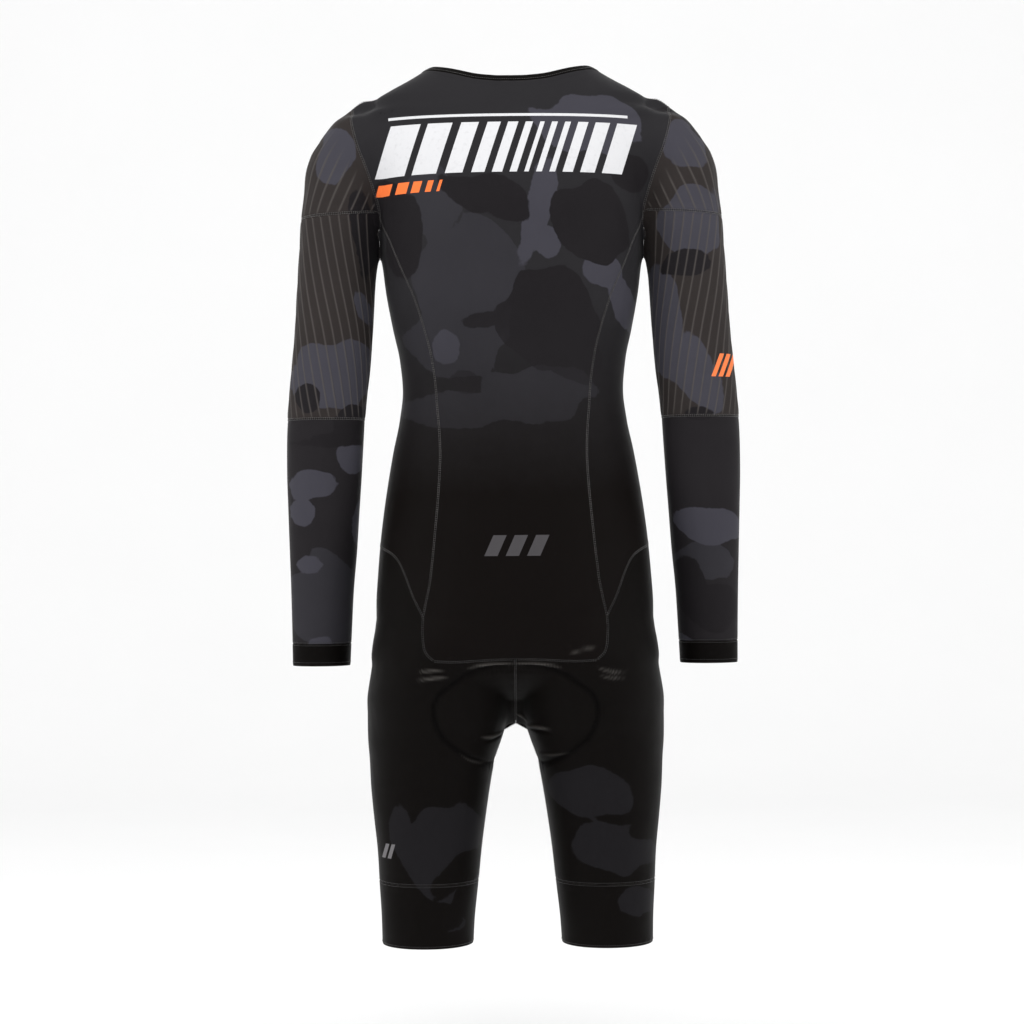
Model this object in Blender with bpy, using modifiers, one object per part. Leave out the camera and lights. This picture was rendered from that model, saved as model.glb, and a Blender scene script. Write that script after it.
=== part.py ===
"""Long-sleeved cycling skinsuit, in the shape that it has when worn, with no wearer in it.

Each sewn piece is one closed wall of cloth. The walls lie on a smooth form of a general figure, which is
the smooth union of level sections of a torso, two arms and two legs, and they meet at the seams with a
hair's breadth between them. Sizes in the tables are millimetres. +Z is up, -Y is the wearer's back and
+X the wearer's right. The origin is between the shoulders, level with the middle of the shoulder seams.
"""

import itertools
import math

import bmesh
import bpy
import numpy as np
from mathutils import Matrix, Vector
from mathutils.bvhtree import BVHTree

MM = 0.001

CLOTH = 1.2
BAND = 1.8
SEAM_GAP = 0.3
RIB_HEIGHT = 0.7
FORM_STEP = 0.5
SAME_POINT = 0.001
CURVE_STEPS = 24

# Level sections of the torso: height, half width, and depth behind and in front of the Y axis.
TORSO_COLUMNS = ("z", "half_width", "back", "front")
TORSO_SECTIONS = (
    (50, 56, 58, 42),
    (28, 63, 56, 45),
    (16, 75, 56, 48),
    (7, 92, 58, 52),
    (-5, 112, 65, 58),
    (-19, 137.5, 73, 65),
    (-27, 148.8, 78, 69),
    (-35, 150, 83, 73),
    (-45, 165, 88, 78),
    (-56, 160, 94, 83),
    (-84, 158, 109, 97),
    (-122, 151, 121, 112),
    (-160, 146, 125, 120),
    (-194, 143, 124, 121),
    (-233, 139, 119, 118),
    (-278, 131, 109, 111),
    (-311, 124, 100, 104),
    (-345, 121, 92, 98),
    (-379, 125, 90, 94),
    (-412, 132, 95, 93),
    (-446, 138, 104, 94),
    (-479, 143, 112, 95),
    (-512, 147, 119, 96),
    (-547, 150, 125, 95),
    (-580, 152, 128, 93),
    (-614, 152, 126, 89),
    (-632, 148, 119, 84),
    (-646, 134, 108, 77),
    (-657, 110, 93, 70),
    (-667, 80, 73, 59),
    (-676, 52, 50, 42),
    (-683, 30, 28, 25),
)

# Level sections of one arm: height, centre, half width and half depth.
ARM_COLUMNS = ("z", "centre_x", "centre_y", "half_width", "half_depth")
ARM_SECTIONS = (
    (-42, 161.3, 0, 22.4, 14),
    (-49, 165, 0, 28, 38),
    (-58, 159.4, -1, 41.4, 47),
    (-71, 162.5, -2, 47.4, 54),
    (-86, 169, -3, 50, 58),
    (-101, 174, -4, 50, 60),
    (-130, 179.5, -6, 47.5, 60),
    (-160, 185.5, -8, 45, 57),
    (-194, 189.5, -10, 43, 54),
    (-234, 192.5, -12, 42.5, 52),
    (-278, 195, -15, 42.5, 49),
    (-322, 199, -18, 42.5, 47),
    (-366, 203.5, -20, 42, 46),
    (-388, 205, -19, 42, 46),
    (-432, 207, -14, 41, 45),
    (-476, 208.5, -7, 39, 42),
    (-520, 210, 2, 37, 38),
    (-564, 212, 11, 34.5, 34),
    (-608, 213.5, 21, 33, 31),
    (-664, 215.5, 34, 31.5, 29),
)

# Level sections of one leg: height, centre, half width, and depth behind and in front of the centre.
LEG_COLUMNS = ("z", "centre_x", "centre_y", "half_width", "back", "front")
LEG_SECTIONS = (
    (-600, 71, -16, 68, 90, 78),
    (-640, 76, -14, 80, 103, 84),
    (-676, 82, -8, 80, 101, 84),
    (-700, 85, -4, 77.5, 95, 83),
    (-726, 89, 0, 73.5, 86, 81),
    (-748, 92, 1, 69, 82, 79),
    (-782, 94.5, 2, 65, 77, 75),
    (-815, 95.5, 2, 61, 73, 71),
    (-849, 96, 1, 57, 68, 67),
    (-888, 97, -1, 54, 64, 63),
    (-925, 98, -3, 51, 61, 60),
    (-950, 98.5, -4, 50, 60, 59),
)

TORSO_SQUARENESS = 2.3
LIMB_SQUARENESS = 2.1
CORE_ROUNDING = 0.05
CROTCH_BLEND = 27
HIP_BLEND = 22
# The width of the blend between the torso and an arm, by height.
ARMHOLE_BLENDS = ((-170, 10), (-75, 26.8), (-45, 19.6))

# Points that the seams pass near, on the wearer's right. Each is moved onto the form.
SHOULDER_POINT = (173, 0, -36)
NECK_POINT = (100, -2, 3)
PRINCESS_START = (144, -38, -151)
FRONT_START = (145, 28, -150)
ARMHOLE_BACK = (
    SHOULDER_POINT,
    (173, -24, -44),
    (170.5, -46, -63),
    (165, -60, -84),
    (157, -64, -104),
    (149, -58, -128),
    PRINCESS_START,
)
ARMHOLE_UNDER = (
    PRINCESS_START,
    (143, -24, -177),
    (143.2, -7, -193),
    (144, 11, -180),
    FRONT_START,
)
ARMHOLE_FRONT = (
    FRONT_START,
    (148, 47, -127),
    (155, 57, -99),
    (165, 54, -74),
    (172.5, 31, -48),
    SHOULDER_POINT,
)
CAP_SEAM = (
    PRINCESS_START,
    (160, -58, -153),
    (190, -64.5, -155),
    (215, -50, -156),
    (229, -8, -157),
    (215, 34, -156),
    (190, 49, -155),
    (163, 45, -152),
    FRONT_START,
)
SHOULDER_SEAM = (SHOULDER_POINT, (155, 0, -27), (128, 0, -13), NECK_POINT)
NECK_BACK = (
    NECK_POINT,
    (93, -21, 4),
    (76, -46, 0),
    (45, -64, -9.5),
    (20, -69, -13.5),
    (0, -70, -14),
)
ZIP_HALF_GAP = 3.5
NECK_FRONT = (
    NECK_POINT,
    (97, 36, -8),
    (81, 61, -29),
    (53, 78, -52),
    (24, 86, -64),
    (ZIP_HALF_GAP, 89, -68),
)

TIP = (98, -106, -590)
HEM_CORNER = (86, -116, -636)
PRINCESS = (
    PRINCESS_START,
    (139, -43, -167),
    (130, -62, -188),
    (110, -80, -235),
    (99, -82, -265),
    (88.5, -78, -303),
    (81.5, -73, -366),
    (78.5, -83, -421),
    (82, -96, -475),
    (89, -106, -547),
    TIP,
)
BACK_CORNER = (TIP, (98, -111, -612), (95, -114, -627), HEM_CORNER)
BACK_HEM = (HEM_CORNER, (60, -119, -637), (0, -118, -635))
FRONT_FOOT = (112, 67, -500)
FRONT_PRINCESS = (
    FRONT_START,
    (138, 44, -172),
    (127, 64, -200),
    (114, 73, -245),
    (103, 65, -315),
    (102, 63, -395),
    (107, 68, -465),
    FRONT_FOOT,
)
HIP_SEAM = (TIP, (106, -99, -573), (127, -72, -527), (147, -5, -513), (138, 40, -505), FRONT_FOOT)
WAIST_FRONT = (FRONT_FOOT, (70, 90, -497), (ZIP_HALF_GAP, 95.5, -495))
ZIP_LINE = (
    (ZIP_HALF_GAP, 89, -68),
    (ZIP_HALF_GAP, 108, -110),
    (ZIP_HALF_GAP, 120, -190),
    (ZIP_HALF_GAP, 110, -280),
    (ZIP_HALF_GAP, 97, -350),
    (ZIP_HALF_GAP, 93, -420),
    (ZIP_HALF_GAP, 95.5, -495),
)
CROTCH = (0, 0, -702)
SEAT_SEAM = ((0, -118, -635), (0, -101, -655), (0, -74, -676), (0, -40, -694), CROTCH)
FLY_SEAM = ((0, 95.5, -495), (0, 94, -560), (0, 87, -620), (0, 66, -662), (0, 34, -688), CROTCH)

# Places of the level seams round the limbs.
ELBOW_Z = -376
CUFF_TOP_Z = -622
CUFF_END_Z = -647
GRIPPER_TOP_Z = -881
HEM_Z = -950

# How many stretches of wall each seam is divided into.
PRINCESS_SPANS = 15
CORNER_SPANS = 3
BACK_ARMHOLE_SPANS = 10
UNDERARM_SPANS = 8
FRONT_ARMHOLE_SPANS = 10
SHOULDER_SPANS = 4
NECK_BACK_SPANS = 6
NECK_FRONT_SPANS = 6
SEAT_SPANS = 8
INSEAM_SPANS = 6
INSEAM_HEIGHTS = 12
INSEAM_BELOW_CROTCH = 16
CROTCH_CROWDING = 1.5
CAP_ROWS = 4
SLEEVE_ROWS = 8
SLEEVE_TWIST = math.radians(-75)
FOREARM_ROWS = 7
CUFF_ROWS = 2
GRIPPER_ROWS = 3
LIMB_SIDES = 22

BINDING_WIDTH = 7
BINDING_ROUND = 0.5

# The seat pad: place along the crotch line from its lowest point, towards the front, and half width.
PAD_COLUMNS = ("along", "half_width")
PAD_STATIONS = (
    (-104, 44),
    (-92, 70),
    (-72, 86),
    (-50, 86),
    (-28, 72),
    (-6, 54),
    (22, 42),
    (60, 36),
    (100, 32),
    (122, 18),
)
PAD_THICK = 7
PAD_EDGE = 1.5
PAD_ROWS = 16
PAD_HALF_COLUMNS = 5
PAD_CLEAR = 0.5
PAD_ROUNDS = 3
PAD_PROBES = 5
PROBE_REACH = 12.0

CHAIN_HALF_WIDTH = 2.6
CHAIN_FLARE = 0.1
CHAIN_PROUD = 0.4
TAPE_HALF_WIDTH = 11
TAPE = 0.9
TAPE_CLEAR = 0.7
SLIDER_BELOW_NECK = 11
SLIDER_SIZE = (8.6, 2.2, 11)
CROWN_SIZE = (2.4, 3.0, 9)
CROWN_BAR = 1.0
CROWN_LEG = 1.2
CROWN_SUNK = 0.2
SLIDER_BEVEL = 0.25
EYE_BAR_RADIUS = 0.6
PULL_SIZE = (6.4, 1.2, 27)
EYE_WIDTH = 3.6
EYE_LENGTH = 6.2
PULL_BEVEL = 0.2
CUT_OVER = 1.0

# The materials: name, colour, roughness and metallic value.
MATERIALS = (
    ("black_cloth", (0.018, 0.018, 0.02), 0.6, 0.0),
    ("charcoal_cloth", (0.05, 0.052, 0.058), 0.6, 0.0),
    ("ribbed_cloth", (0.075, 0.072, 0.072), 0.65, 0.0),
    ("pad_foam", (0.06, 0.06, 0.065), 0.9, 0.0),
    ("zip_plastic", (0.012, 0.012, 0.013), 0.45, 0.0),
    ("dark_metal", (0.12, 0.12, 0.13), 0.35, 1.0),
)


def smooth_columns(names, rows):
    """A function for each named column: the smooth curve through the table that never overshoots it."""
    data = np.array(sorted(rows), float)
    at = data[:, 0]
    fine = np.arange(at[0], at[-1] + FORM_STEP, FORM_STEP)
    found = {}
    for name, value in zip(names[1:], data[:, 1:].T):
        slope = np.diff(value) / np.diff(at)
        before, after = slope[:-1], slope[1:]
        steady = before * after > 0
        inner = np.where(steady, 2 * before * after / np.where(steady, before + after, 1), 0)
        tangent = np.concatenate([slope[:1], inner, slope[-1:]])
        i = np.clip(np.searchsorted(at, fine, side="right") - 1, 0, len(at) - 2)
        step = at[i + 1] - at[i]
        t = (fine - at[i]) / step
        curve = (
            (1 + 2 * t) * (1 - t) ** 2 * value[i]
            + t * (1 - t) ** 2 * step * tangent[i]
            + t * t * (3 - 2 * t) * value[i + 1]
            - t * t * (1 - t) * step * tangent[i + 1]
        )
        found[name] = lambda place, fine=fine, curve=curve: np.interp(place, fine, curve)
    return found


torso_at = smooth_columns(TORSO_COLUMNS, TORSO_SECTIONS)
arm_at = smooth_columns(ARM_COLUMNS, ARM_SECTIONS)
leg_at = smooth_columns(LEG_COLUMNS, LEG_SECTIONS)


def outside_oval(across, along, half_width, back, front, squareness):
    """Roughly how far points lie outside a level oval section, from their offsets to its centre."""
    depth = np.where(along < 0, back, front)
    reach = np.abs(across / half_width) ** squareness + np.abs(along / depth) ** squareness
    outside = (reach + CORE_ROUNDING) ** (1 / squareness) - (1 + CORE_ROUNDING) ** (1 / squareness)
    return outside * (half_width + (back + front) / 2) / 2


def past_ends(z, sections):
    """How far above the first section or below the last one each height is."""
    heights = [row[0] for row in sections]
    return np.maximum(z - max(heights), 0) + np.maximum(min(heights) - z, 0)


def soft_union(a, b, width):
    """The lesser of two distances, rounded where they are within width of each other."""
    share = np.clip(0.5 + 0.5 * (b - a) / width, 0, 1)
    return b * (1 - share) + a * share - width * share * (1 - share)


def form(points, arms=True):
    """Roughly how far each point lies outside the figure, which is the outer face of the cloth."""
    x, y, z = np.abs(points[:, 0]), points[:, 1], points[:, 2]
    torso = outside_oval(
        x, y, torso_at["half_width"](z), torso_at["back"](z), torso_at["front"](z), TORSO_SQUARENESS
    ) + past_ends(z, TORSO_SECTIONS)
    depth = arm_at["half_depth"](z)
    arm = outside_oval(
        x - arm_at["centre_x"](z), y - arm_at["centre_y"](z), arm_at["half_width"](z), depth, depth, LIMB_SQUARENESS
    ) + past_ends(z, ARM_SECTIONS)
    near, far = (
        outside_oval(
            side - leg_at["centre_x"](z),
            y - leg_at["centre_y"](z),
            leg_at["half_width"](z),
            leg_at["back"](z),
            leg_at["front"](z),
            LIMB_SQUARENESS,
        )
        + past_ends(z, LEG_SECTIONS)
        for side in (x, -x)
    )
    lower = soft_union(torso, soft_union(near, far, CROTCH_BLEND), HIP_BLEND)
    if not arms:
        return lower
    return soft_union(lower, arm, np.interp(z, *zip(*ARMHOLE_BLENDS)))


def slope_of(points, arms=True):
    """The gradient of the form at each point."""
    found = np.empty_like(points)
    for axis in range(3):
        step = np.zeros(3)
        step[axis] = FORM_STEP
        found[:, axis] = (form(points + step, arms) - form(points - step, arms)) / (2 * FORM_STEP)
    return found


def normals_at(points):
    """The outward normal of the cloth at each point of an array of any shape."""
    flat = slope_of(points.reshape(-1, 3))
    flat /= np.linalg.norm(flat, axis=1, keepdims=True)
    return flat.reshape(points.shape)


def onto_form(points, arms=True, rounds=40, longest=15.0):
    """The points moved along the form's slope until they lie on it."""
    shape = np.shape(points)
    flat = np.array(points, float).reshape(-1, 3)
    for _ in range(rounds):
        slope = slope_of(flat, arms)
        move = -(form(flat, arms) / (slope**2).sum(1))[:, None] * slope
        length = np.linalg.norm(move, axis=1, keepdims=True)
        flat += move * np.minimum(1, longest / np.maximum(length, 1e-9))
    return flat.reshape(shape)


def curve_through(points, spans, crowding=1.0):
    """spans + 1 points along a smooth curve on the form through the given ones."""
    given = np.array(points, float)
    ends = np.concatenate([[2 * given[0] - given[1]], given, [2 * given[-1] - given[-2]]])
    pieces = []
    for a, b, c, d in zip(ends, ends[1:], ends[2:], ends[3:]):
        t = np.linspace(0, 1, CURVE_STEPS, endpoint=False)[:, None]
        pieces.append(
            0.5 * (2 * b + (c - a) * t + (2 * a - 5 * b + 4 * c - d) * t**2 + (3 * b - a - 3 * c + d) * t**3)
        )
    line = onto_form(np.concatenate([*pieces, given[-1:]]))
    return spread_along(line, spans, crowding)


def spread_along(line, spans, crowding=1.0):
    """spans + 1 points along a dense line with both of its ends, closer to its end for a crowding over 1."""
    run = np.concatenate([[0], np.cumsum(np.linalg.norm(np.diff(line, axis=0), axis=1))])
    at = run[-1] * (1 - np.linspace(1, 0, spans + 1) ** crowding)
    return np.stack([np.interp(at, run, line[:, axis]) for axis in range(3)], axis=1)


def patch(left, right, bottom, top, hold=1.0, arms=True):
    """Rows of points on the form inside four edges. hold says how fast the side edges' pull fades."""
    u = np.linspace(0, 1, len(bottom))[None, :, None]
    v = np.linspace(0, 1, len(left))[:, None, None]
    ruled = (1 - v) * bottom[None] + v * top[None]
    from_left = left[:, None] - ruled[:, :1]
    from_right = right[:, None] - ruled[:, -1:]
    inside = ruled + (1 - u) ** hold * from_left + u**hold * from_right
    inside = onto_form(inside if arms else onto_form(inside, arms=False))
    inside[0], inside[-1] = bottom, top
    inside[:, 0], inside[:, -1] = left, right
    return inside


def edge_normal(tangent, normal, inward):
    """The unit vector in the cloth, square to an edge and pointing into the piece."""
    square = np.cross(normal, tangent)
    square /= np.linalg.norm(square, axis=-1, keepdims=True)
    return square * np.sign((square * inward).sum(-1, keepdims=True))


def mitred(loop, inward):
    """How a closed loop of edge points moves for each of its edges to move one millimetre inward."""
    normal = normals_at(loop)
    ahead = np.roll(loop, -1, axis=0) - loop
    square = np.cross(normal + np.roll(normal, -1, axis=0), ahead)
    square /= np.linalg.norm(square, axis=1, keepdims=True)
    before = np.roll(square, 1, axis=0)
    pull = (before + square) / (1 + (before * square).sum(1, keepdims=True))
    return pull * np.sign((pull * inward).sum())


def inset(rows):
    """The rows with their outer points drawn in by half of the seam's gap, along the cloth."""
    last_row, last_column = rows.shape[0] - 1, rows.shape[1] - 1
    across, up = np.arange(last_column), np.arange(last_row)
    row = np.concatenate([np.zeros_like(across), up, np.full_like(across, last_row), last_row - up])
    column = np.concatenate([across, np.full_like(up, last_column), last_column - across, np.zeros_like(up)])
    loop = rows[row, column]
    inward = rows[np.clip(row, 1, last_row - 1), np.clip(column, 1, last_column - 1)] - loop
    distinct = np.linalg.norm(loop - np.roll(loop, 1, axis=0), axis=1) > SAME_POINT
    pull = mitred(loop[distinct], inward[distinct])
    made = rows.copy()
    made[row, column] += pull[np.cumsum(distinct) - 1] * SEAM_GAP / 2
    return made


def drawn_in(rings):
    """Closed rings whose first and last are drawn in by half of the seam's gap."""
    made = rings.copy()
    made[0] += mitred(rings[0], rings[1] - rings[0]) * SEAM_GAP / 2
    made[-1] += mitred(rings[-1], rings[-2] - rings[-1]) * SEAM_GAP / 2
    return made


def shade(obj, angle=math.radians(40)):
    """Shades an object smooth, apart from its sharp rims."""
    obj.data.shade_smooth()
    obj.data.set_sharp_from_angle(angle=angle)


def material(name, colour, roughness, metallic):
    """A plain material with the given colour, roughness and metallic value."""
    made = bpy.data.materials.new(name)
    made.use_nodes = True
    shader = made.node_tree.nodes["Principled BSDF"]
    shader.inputs["Base Color"].default_value = (*colour, 1)
    shader.inputs["Roughness"].default_value = roughness
    shader.inputs["Metallic"].default_value = metallic
    return made


def add_mesh(name, vertices, faces, finish, collection):
    """A mesh object from points in millimetres, with its faces turned outward."""
    mesh = bpy.data.meshes.new(name)
    mesh.from_pydata([Vector(v) * MM for v in vertices], [], faces)
    solid = bmesh.new()
    solid.from_mesh(mesh)
    bmesh.ops.remove_doubles(solid, verts=solid.verts, dist=SAME_POINT * MM)
    bmesh.ops.recalc_face_normals(solid, faces=solid.faces)
    solid.to_mesh(mesh)
    solid.free()
    mesh.materials.append(finish)
    obj = bpy.data.objects.new(name, mesh)
    collection.objects.link(obj)
    shade(obj)
    return obj


def loft(name, layers, finish, collection, round_v=False):
    """A closed solid from an outer and an inner sheet of points, each in rows, joined round their rims."""
    outer, inner = layers
    rows, columns = outer.shape[:2]
    count = rows * columns

    def corner(layer, row, column):
        return layer * count + row * columns + column % columns

    last = columns if round_v else columns - 1
    faces = []
    for row, column in itertools.product(range(rows - 1), range(last)):
        ring = [(row, column), (row, column + 1), (row + 1, column + 1), (row + 1, column)]
        faces.append([corner(0, *at) for at in ring])
        faces.append([corner(1, *at) for at in reversed(ring)])
    rims = [((row, column), (row, column + 1)) for row in (0, rows - 1) for column in range(last)]
    if not round_v:
        rims += [((row, column), (row + 1, column)) for column in (0, columns - 1) for row in range(rows - 1)]
    for a, b in rims:
        faces.append([corner(0, *a), corner(0, *b), corner(1, *b), corner(1, *a)])
    vertices = np.concatenate([outer.reshape(-1, 3), inner.reshape(-1, 3)])
    return add_mesh(name, vertices, faces, finish, collection)


def cloth(name, rows, finish, collection, thick=CLOTH, raised=0.0, closed=False):
    """A wall of cloth whose outer face is the given rows of points, moved out by raised."""
    normal = normals_at(rows)
    if np.ndim(raised):
        raised = raised[..., None]
    return loft(name, (rows + normal * raised, rows - normal * thick), finish, collection, closed)


def mirrored(points):
    """The same points on the wearer's left."""
    return points * np.array([-1, 1, 1])


def ring_points(at, z, turn):
    """Points on an arm's or a leg's level sections, one for each height and turn."""
    across, along = np.cos(turn), np.sin(turn)
    back = at["back"](z) if "back" in at else at["half_depth"](z)
    front = at["front"](z) if "front" in at else at["half_depth"](z)
    depth = np.where(along < 0, back, front)
    width = at["half_width"](z)
    reach = (np.abs(across) ** LIMB_SQUARENESS + np.abs(along) ** LIMB_SQUARENESS) ** (-1 / LIMB_SQUARENESS)
    return np.stack(
        [at["centre_x"](z) + width * across * reach, at["centre_y"](z) + depth * along * reach, z], axis=-1
    )


def build_seams():
    """Every seam on the wearer's right, as evenly spaced points that both of its pieces share."""
    seams = {
        "armhole_back": curve_through(ARMHOLE_BACK, BACK_ARMHOLE_SPANS),
        "armhole_under": curve_through(ARMHOLE_UNDER, UNDERARM_SPANS),
        "armhole_front": curve_through(ARMHOLE_FRONT, FRONT_ARMHOLE_SPANS),
        "shoulder": curve_through(SHOULDER_SEAM, SHOULDER_SPANS),
        "neck_back": curve_through(NECK_BACK, NECK_BACK_SPANS),
        "neck_front": curve_through(NECK_FRONT, NECK_FRONT_SPANS),
        "princess": curve_through(PRINCESS, PRINCESS_SPANS),
        "corner": curve_through(BACK_CORNER, CORNER_SPANS),
        "back_hem": curve_through(BACK_HEM, SHOULDER_SPANS + NECK_BACK_SPANS),
        "front_princess": curve_through(FRONT_PRINCESS, PRINCESS_SPANS),
        "hip": curve_through(HIP_SEAM, UNDERARM_SPANS),
        "waist": curve_through(WAIST_FRONT, SHOULDER_SPANS + NECK_FRONT_SPANS),
        "zip": curve_through(ZIP_LINE, PRINCESS_SPANS + FRONT_ARMHOLE_SPANS),
        "seat": curve_through(SEAT_SEAM, SEAT_SPANS, CROTCH_CROWDING),
        "fly": curve_through(FLY_SEAM, SEAT_SPANS, CROTCH_CROWDING),
        "cap": curve_through(CAP_SEAM, BACK_ARMHOLE_SPANS + FRONT_ARMHOLE_SPANS),
    }
    for name in ("neck_back", "back_hem"):
        seams[name][-1, 0] = 0
    for name in ("seat", "fly"):
        seams[name][:, 0] = 0
    return seams


def chain(*lines):
    """Lines that meet end to end, as one, with each meeting point once."""
    return np.concatenate([lines[0], *(line[1:] for line in lines[1:])])


def back_rows(seams):
    """The back panel, from its hem up to the shoulder seams and the neck."""
    right = chain(seams["corner"][::-1], seams["princess"][::-1], seams["armhole_back"][::-1])
    half_top = chain(seams["shoulder"], seams["neck_back"])
    half_hem = seams["back_hem"]
    top = chain(mirrored(half_top), half_top[::-1])
    bottom = chain(mirrored(half_hem), half_hem[::-1])
    return patch(mirrored(right), right, bottom, top)


def side_rows(seams):
    """A side panel, from the hip seam up to the armpit."""
    right, left = seams["princess"][::-1], seams["front_princess"][::-1]
    return patch(right, left, seams["hip"], seams["armhole_under"], arms=False)


def front_rows(seams):
    """A front panel, from the waist seam up to the shoulder seam and the neck, beside the zip."""
    outer = chain(seams["front_princess"][::-1], seams["armhole_front"])
    top = chain(seams["shoulder"], seams["neck_front"])
    return patch(outer, seams["zip"][::-1], seams["waist"], top)


def leg_rows(seams):
    """A leg panel, from its top edge down to the gripper, round the thigh from inseam to inseam."""
    fly = seams["fly"]
    waist = seams["waist"].copy()
    waist[-1] = fly[0]
    top = chain(seams["back_hem"][::-1], seams["corner"][::-1], seams["hip"], waist)
    top[0] = seams["seat"][0]
    turn = -np.pi - 2 * np.pi * np.arange(len(top)) / (len(top) - 1)
    bottom = ring_points(leg_at, np.full(len(top), float(GRIPPER_TOP_Z)), -turn)
    inseam = inseam_line()
    back_edge = chain(seams["seat"], inseam)
    front_edge = chain(fly, inseam)
    return patch(back_edge, front_edge, top, bottom, hold=3.0)


def inseam_line():
    """The seam inside the thigh, from the crotch down to the gripper."""
    heights = np.linspace(CROTCH[2] - INSEAM_BELOW_CROTCH, GRIPPER_TOP_Z, INSEAM_HEIGHTS)
    inner = ring_points(leg_at, heights, np.full(len(heights), np.pi))
    line = onto_form(np.concatenate([[CROTCH], inner[:-1]]))
    line[0] = onto_form(np.array([CROTCH]))[0]
    line[0, 0] = 0
    return spread_along(np.concatenate([line, inner[-1:]])[::-1], INSEAM_SPANS, CROTCH_CROWDING)[::-1]


def cap_rows(seams):
    """A sleeve's cap, from the seam across the upper arm up to the armhole."""
    armhole = chain(seams["armhole_front"], seams["armhole_back"])[::-1]
    seam = seams["cap"]
    behind, before = (np.repeat(end[None], CAP_ROWS + 1, axis=0) for end in (seam[0], seam[-1]))
    return patch(behind, before, seam, armhole)


def sleeve_rows(seams):
    """An upper sleeve as closed rings, from the cap and the armpit down to the elbow seam."""
    top = chain(seams["cap"], seams["armhole_under"][::-1])[:-1]
    across = top[:, 0] - arm_at["centre_x"](top[:, 2])
    along = top[:, 1] - arm_at["centre_y"](top[:, 2])
    start = np.unwrap(np.arctan2(along, across))
    even = start[0] + 2 * np.pi * np.arange(len(top)) / len(top)
    v = np.linspace(0, 1, SLEEVE_ROWS + 1)[:, None]
    height = (1 - v) * top[:, 2] + v * ELBOW_Z
    turn = (1 - v) * start + v * (even + SLEEVE_TWIST)
    rings = ring_points(arm_at, height.ravel(), turn.ravel()).reshape(SLEEVE_ROWS + 1, -1, 3)
    rows = onto_form(rings)
    rows[0], rows[-1] = top, rings[-1]
    return rows


def tube_rows(at, top, bottom, rows):
    """Level rings of an arm's or a leg's piece between two heights, each from its outer side round the back."""
    heights = np.linspace(top - SEAM_GAP / 2, bottom + SEAM_GAP / 2, rows + 1)
    turn = -2 * np.pi * np.arange(LIMB_SIDES) / LIMB_SIDES
    return np.stack([ring_points(at, np.full(LIMB_SIDES, z), turn) for z in heights])


def rib_pattern(rows):
    """How far each point of a sleeve's ribbed cloth stands proud: every second line of points is a rib."""
    raised = np.zeros(rows.shape[:2])
    raised[1:-1, 1 : BACK_ARMHOLE_SPANS + FRONT_ARMHOLE_SPANS : 2] = RIB_HEIGHT
    return raised


def binding_rows(seams):
    """The neck binding's outer face, from one side of the zip round the back to the other."""
    half = chain(seams["neck_front"][::-1], seams["neck_back"])
    lower = chain(half, mirrored(half)[::-1])
    normal = normals_at(lower)
    tangent = np.gradient(lower, axis=0)
    upward = edge_normal(tangent, normal, np.broadcast_to((0.0, 0.0, 1.0), lower.shape))
    upward[[0, -1], 0] = 0
    low = lower + upward * SEAM_GAP / 2
    middle = onto_form(lower + upward * BINDING_WIDTH / 2)
    high = onto_form(lower + upward * BINDING_WIDTH)
    return np.stack([low, middle, high])


def pad_layers(seams):
    """The seat pad's face against the cloth and its face towards the wearer."""
    line = chain(seams["seat"], seams["fly"][::-1])
    dense = np.concatenate([np.linspace(a, b, CURVE_STEPS, endpoint=False) for a, b in zip(line, line[1:])])
    dense = onto_form(dense)
    dense[:, 0] = 0
    run = np.concatenate([[0], np.cumsum(np.linalg.norm(np.diff(dense, axis=0), axis=1))])
    run -= run[np.argmin(dense[:, 2])]
    half_width = smooth_columns(PAD_COLUMNS, PAD_STATIONS)["half_width"]
    station = np.linspace(PAD_STATIONS[0][0], PAD_STATIONS[-1][0], PAD_ROWS + 1)
    middle = np.stack([np.interp(station, run, dense[:, axis]) for axis in range(3)], axis=1)
    along = np.gradient(middle, axis=0)
    step = half_width(station)[:, None] / PAD_HALF_COLUMNS
    right = [middle]
    for _ in range(PAD_HALF_COLUMNS):
        sideways = edge_normal(along, normals_at(right[-1]), np.broadcast_to((1.0, 0.0, 0.0), middle.shape))
        right.append(onto_form(right[-1] + sideways * step))
    rows = np.stack([*(mirrored(p) for p in right[:0:-1]), *right], axis=1)
    normal = normals_at(rows)
    u = np.linspace(-1, 1, rows.shape[1])[None, :, None]
    v = np.linspace(-1, 1, rows.shape[0])[:, None, None]
    crown = (1 - u**4) * (1 - v**6)
    outer = clear_of(rows - normal * (CLOTH + SEAM_GAP), normal, seams)
    inner = outer - normal * (PAD_EDGE + (PAD_THICK - PAD_EDGE) * crown)
    return outer, inner


def clear_of(rows, normal, seams):
    """The pad's outer points, each drawn inward until the cells round it stand clear of the leg panels' inside."""
    leg = inset(leg_rows(seams))
    leg = leg - normals_at(leg) * CLOTH
    trees = [inside_tree(leg), inside_tree(mirrored(leg))]
    made = rows.copy()
    for _ in range(PAD_ROUNDS):
        need = np.zeros(rows.shape[:2])
        for row, column in itertools.product(range(rows.shape[0] - 1), range(rows.shape[1] - 1)):
            cell = (slice(row, row + 2), slice(column, column + 2))
            need[cell] = np.maximum(need[cell], short_of(made[cell], normal[cell], trees))
        made -= normal * need[..., None]
    return made


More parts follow.
